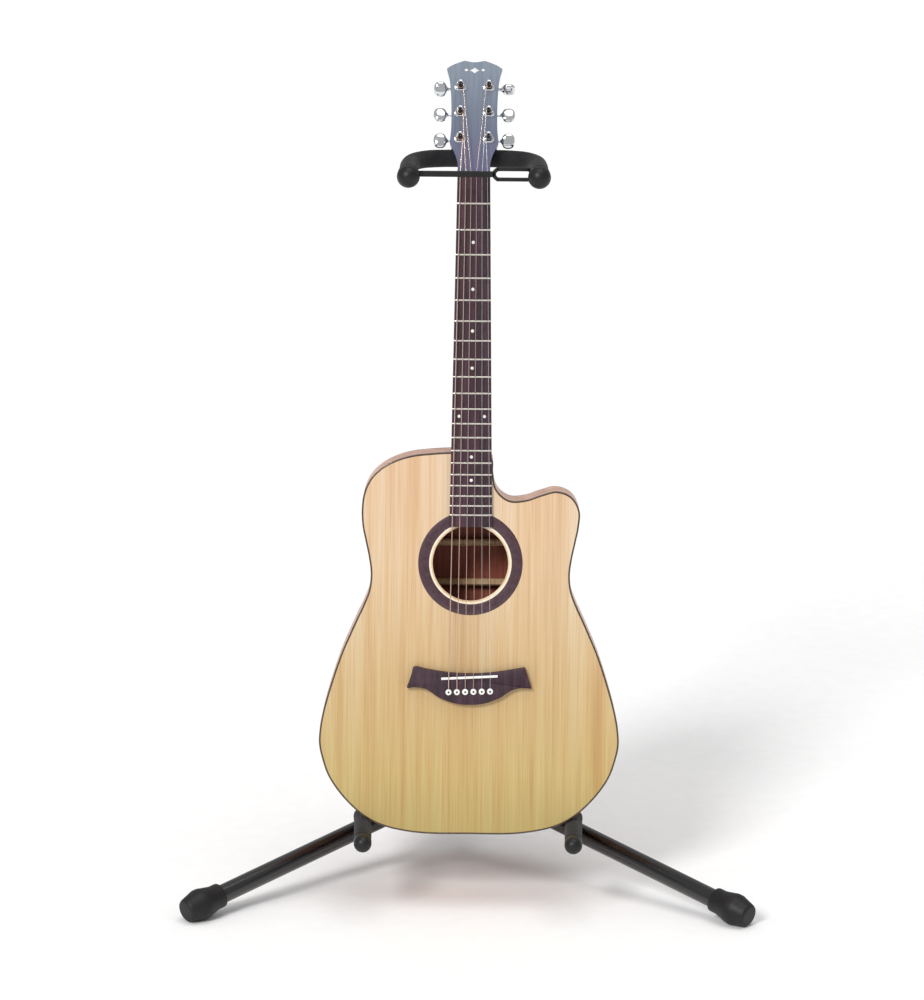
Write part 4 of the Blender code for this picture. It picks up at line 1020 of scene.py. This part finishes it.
def yoke():
    """The neck yoke: bare rod, foam round it from ball to ball, and the two balls with flanges."""
    socket_low, socket_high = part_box("yoke_tube")
    height = (socket_low[2] + socket_high[2]) / 2
    back = socket_high[1] - YOKE_TUBE_RADIUS - HUB_Y
    front = back - YOKE_ARM
    span = YOKE_HALF_SPAN
    half = np.array([(0, back, height), (34 * MM, back, height), (62 * MM, back - 6 * MM, height),
                     (79 * MM, back - 24 * MM, height), (span, back - 52 * MM, height),
                     (span, front, height)])
    path = curved(np.vstack([half[::-1] * np.array([-1, 1, 1]), half[1:]]), 240)
    solid("yoke_rod", STAND.at(carried(path, circle(YOKE_TUBE_RADIUS, 24))), ENAMEL, "mast",
          ("yoke_tube",))
    padded = path[path[:, 1] > front + 16.5 * MM]
    foam_sleeve("yoke_sleeve", curved(padded, 300), ("yoke_foam_left", "yoke_foam_right"), "mast", (0, 0, 1))
    for side, sign in (("left", -1), ("right", 1)):
        spot = STAND.inside((sign * span, front, height), rotation(math.pi / 2, "X"))
        arc = [(BALL_RADIUS / MM * math.cos(a), BALL_RADIUS / MM * math.sin(a) + 6)
               for a in np.linspace(math.radians(-48), math.radians(88), 18)]
        profile = [(5.3, -8.5), (12.6, -8.5), (13.8, -8.1), (14.2, -7.2), (14, -5.6), (12, -4.9)] + arc
        solid(f"yoke_ball_{side}", spot.at(turned(mm(*profile), 56)), NYLON,
              "mast", (f"yoke_cap_{side}",))
    return height, front + 11.5 * MM


def strap(height, y):
    """The rubber strap: a ring on each arm, a flat bar, and a long slotted loop by the right ring."""
    spot = STAND.inside((-YOKE_HALF_SPAN, y, height))
    reach = 2 * YOKE_HALF_SPAN
    section = soft_box(3 * MM, 6.8 * MM, 1.1 * MM, 4)
    angle = np.linspace(0, TAU, 56, endpoint=False)
    ring = np.stack([9 * MM * np.cos(angle), 0 * angle, 9 * MM * np.sin(angle)], -1)
    for name, x, nodes in (("strap_ring_left", 0.0, ("neck_strap",)), ("strap_ring_right", reach, ())):
        grid = carried(ring + np.array([x, 0, 0]), section[:, ::-1], up=(0, 1, 0), closed=True)
        solid(name, spot.at(grid), RUBBER, "strap", nodes, wrap=True)
    bar = np.stack([np.linspace(11.5, 112, 30) * MM, np.zeros(30), np.zeros(30)], -1)
    bar_section = soft_box(3 * MM, 8 * MM, 1.1 * MM, 4)
    solid("strap_bar", spot.at(carried(bar, bar_section)), RUBBER, "strap")
    a = np.linspace(-math.pi / 2, math.pi / 2, 20)
    left, right, tall = 118 * MM, 154 * MM, 6.8 * MM
    loop = np.concatenate([np.stack([right + tall * np.cos(a), tall * np.sin(a)], -1),
                           np.stack([left - tall * np.cos(a), -tall * np.sin(a)], -1)])
    loop = curved(loop, 90, closed=True)
    loop = np.stack([loop[:, 0], 0 * loop[:, 0], loop[:, 1]], -1)
    bead = soft_box(5.2 * MM, 3 * MM, 1.1 * MM, 4)
    solid("strap_loop", spot.at(carried(loop, bead, up=(0, 1, 0), closed=True)), RUBBER, "strap",
          wrap=True)


for word in LEG_TURNS:
    leg(word)
shaft()
cradle()
strap(*yoke())


# ---- carried-over pieces ------------------------------------------------------------------------
def refinish(finish, *names):
    """Gives a finish to nodes that are shown with the frame's own shape."""
    for name in names:
        mesh = frame["nodes"][name].data
        mesh.materials.clear()
        mesh.materials.append(finish)


refinish(NYLON, "leg_hub", "cradle_bracket", "yoke_socket")
refinish(ENAMEL, "leg_pin_left", "leg_pin_right", "leg_pin_rear")
refinish(RAW_SPRUCE, "x_brace", "tail_block")
refinish(MAHOGANY, "neck_block")


def floor():
    """A wide pale floor, a fifth of a millimetre under the feet."""
    reach, height = 30.0, -0.2 * MM
    mesh = bpy.data.meshes.new("studio_floor")
    corners = [(-reach, -reach, height), (reach, -reach, height), (reach, reach, height),
               (-reach, reach, height)]
    mesh.from_pydata(corners, [], [(0, 1, 2, 3)])
    made = bpy.data.objects.new("studio_floor", mesh)
    bpy.context.collection.objects.link(made)
    made.data.materials.append(painted_floor())


floor()
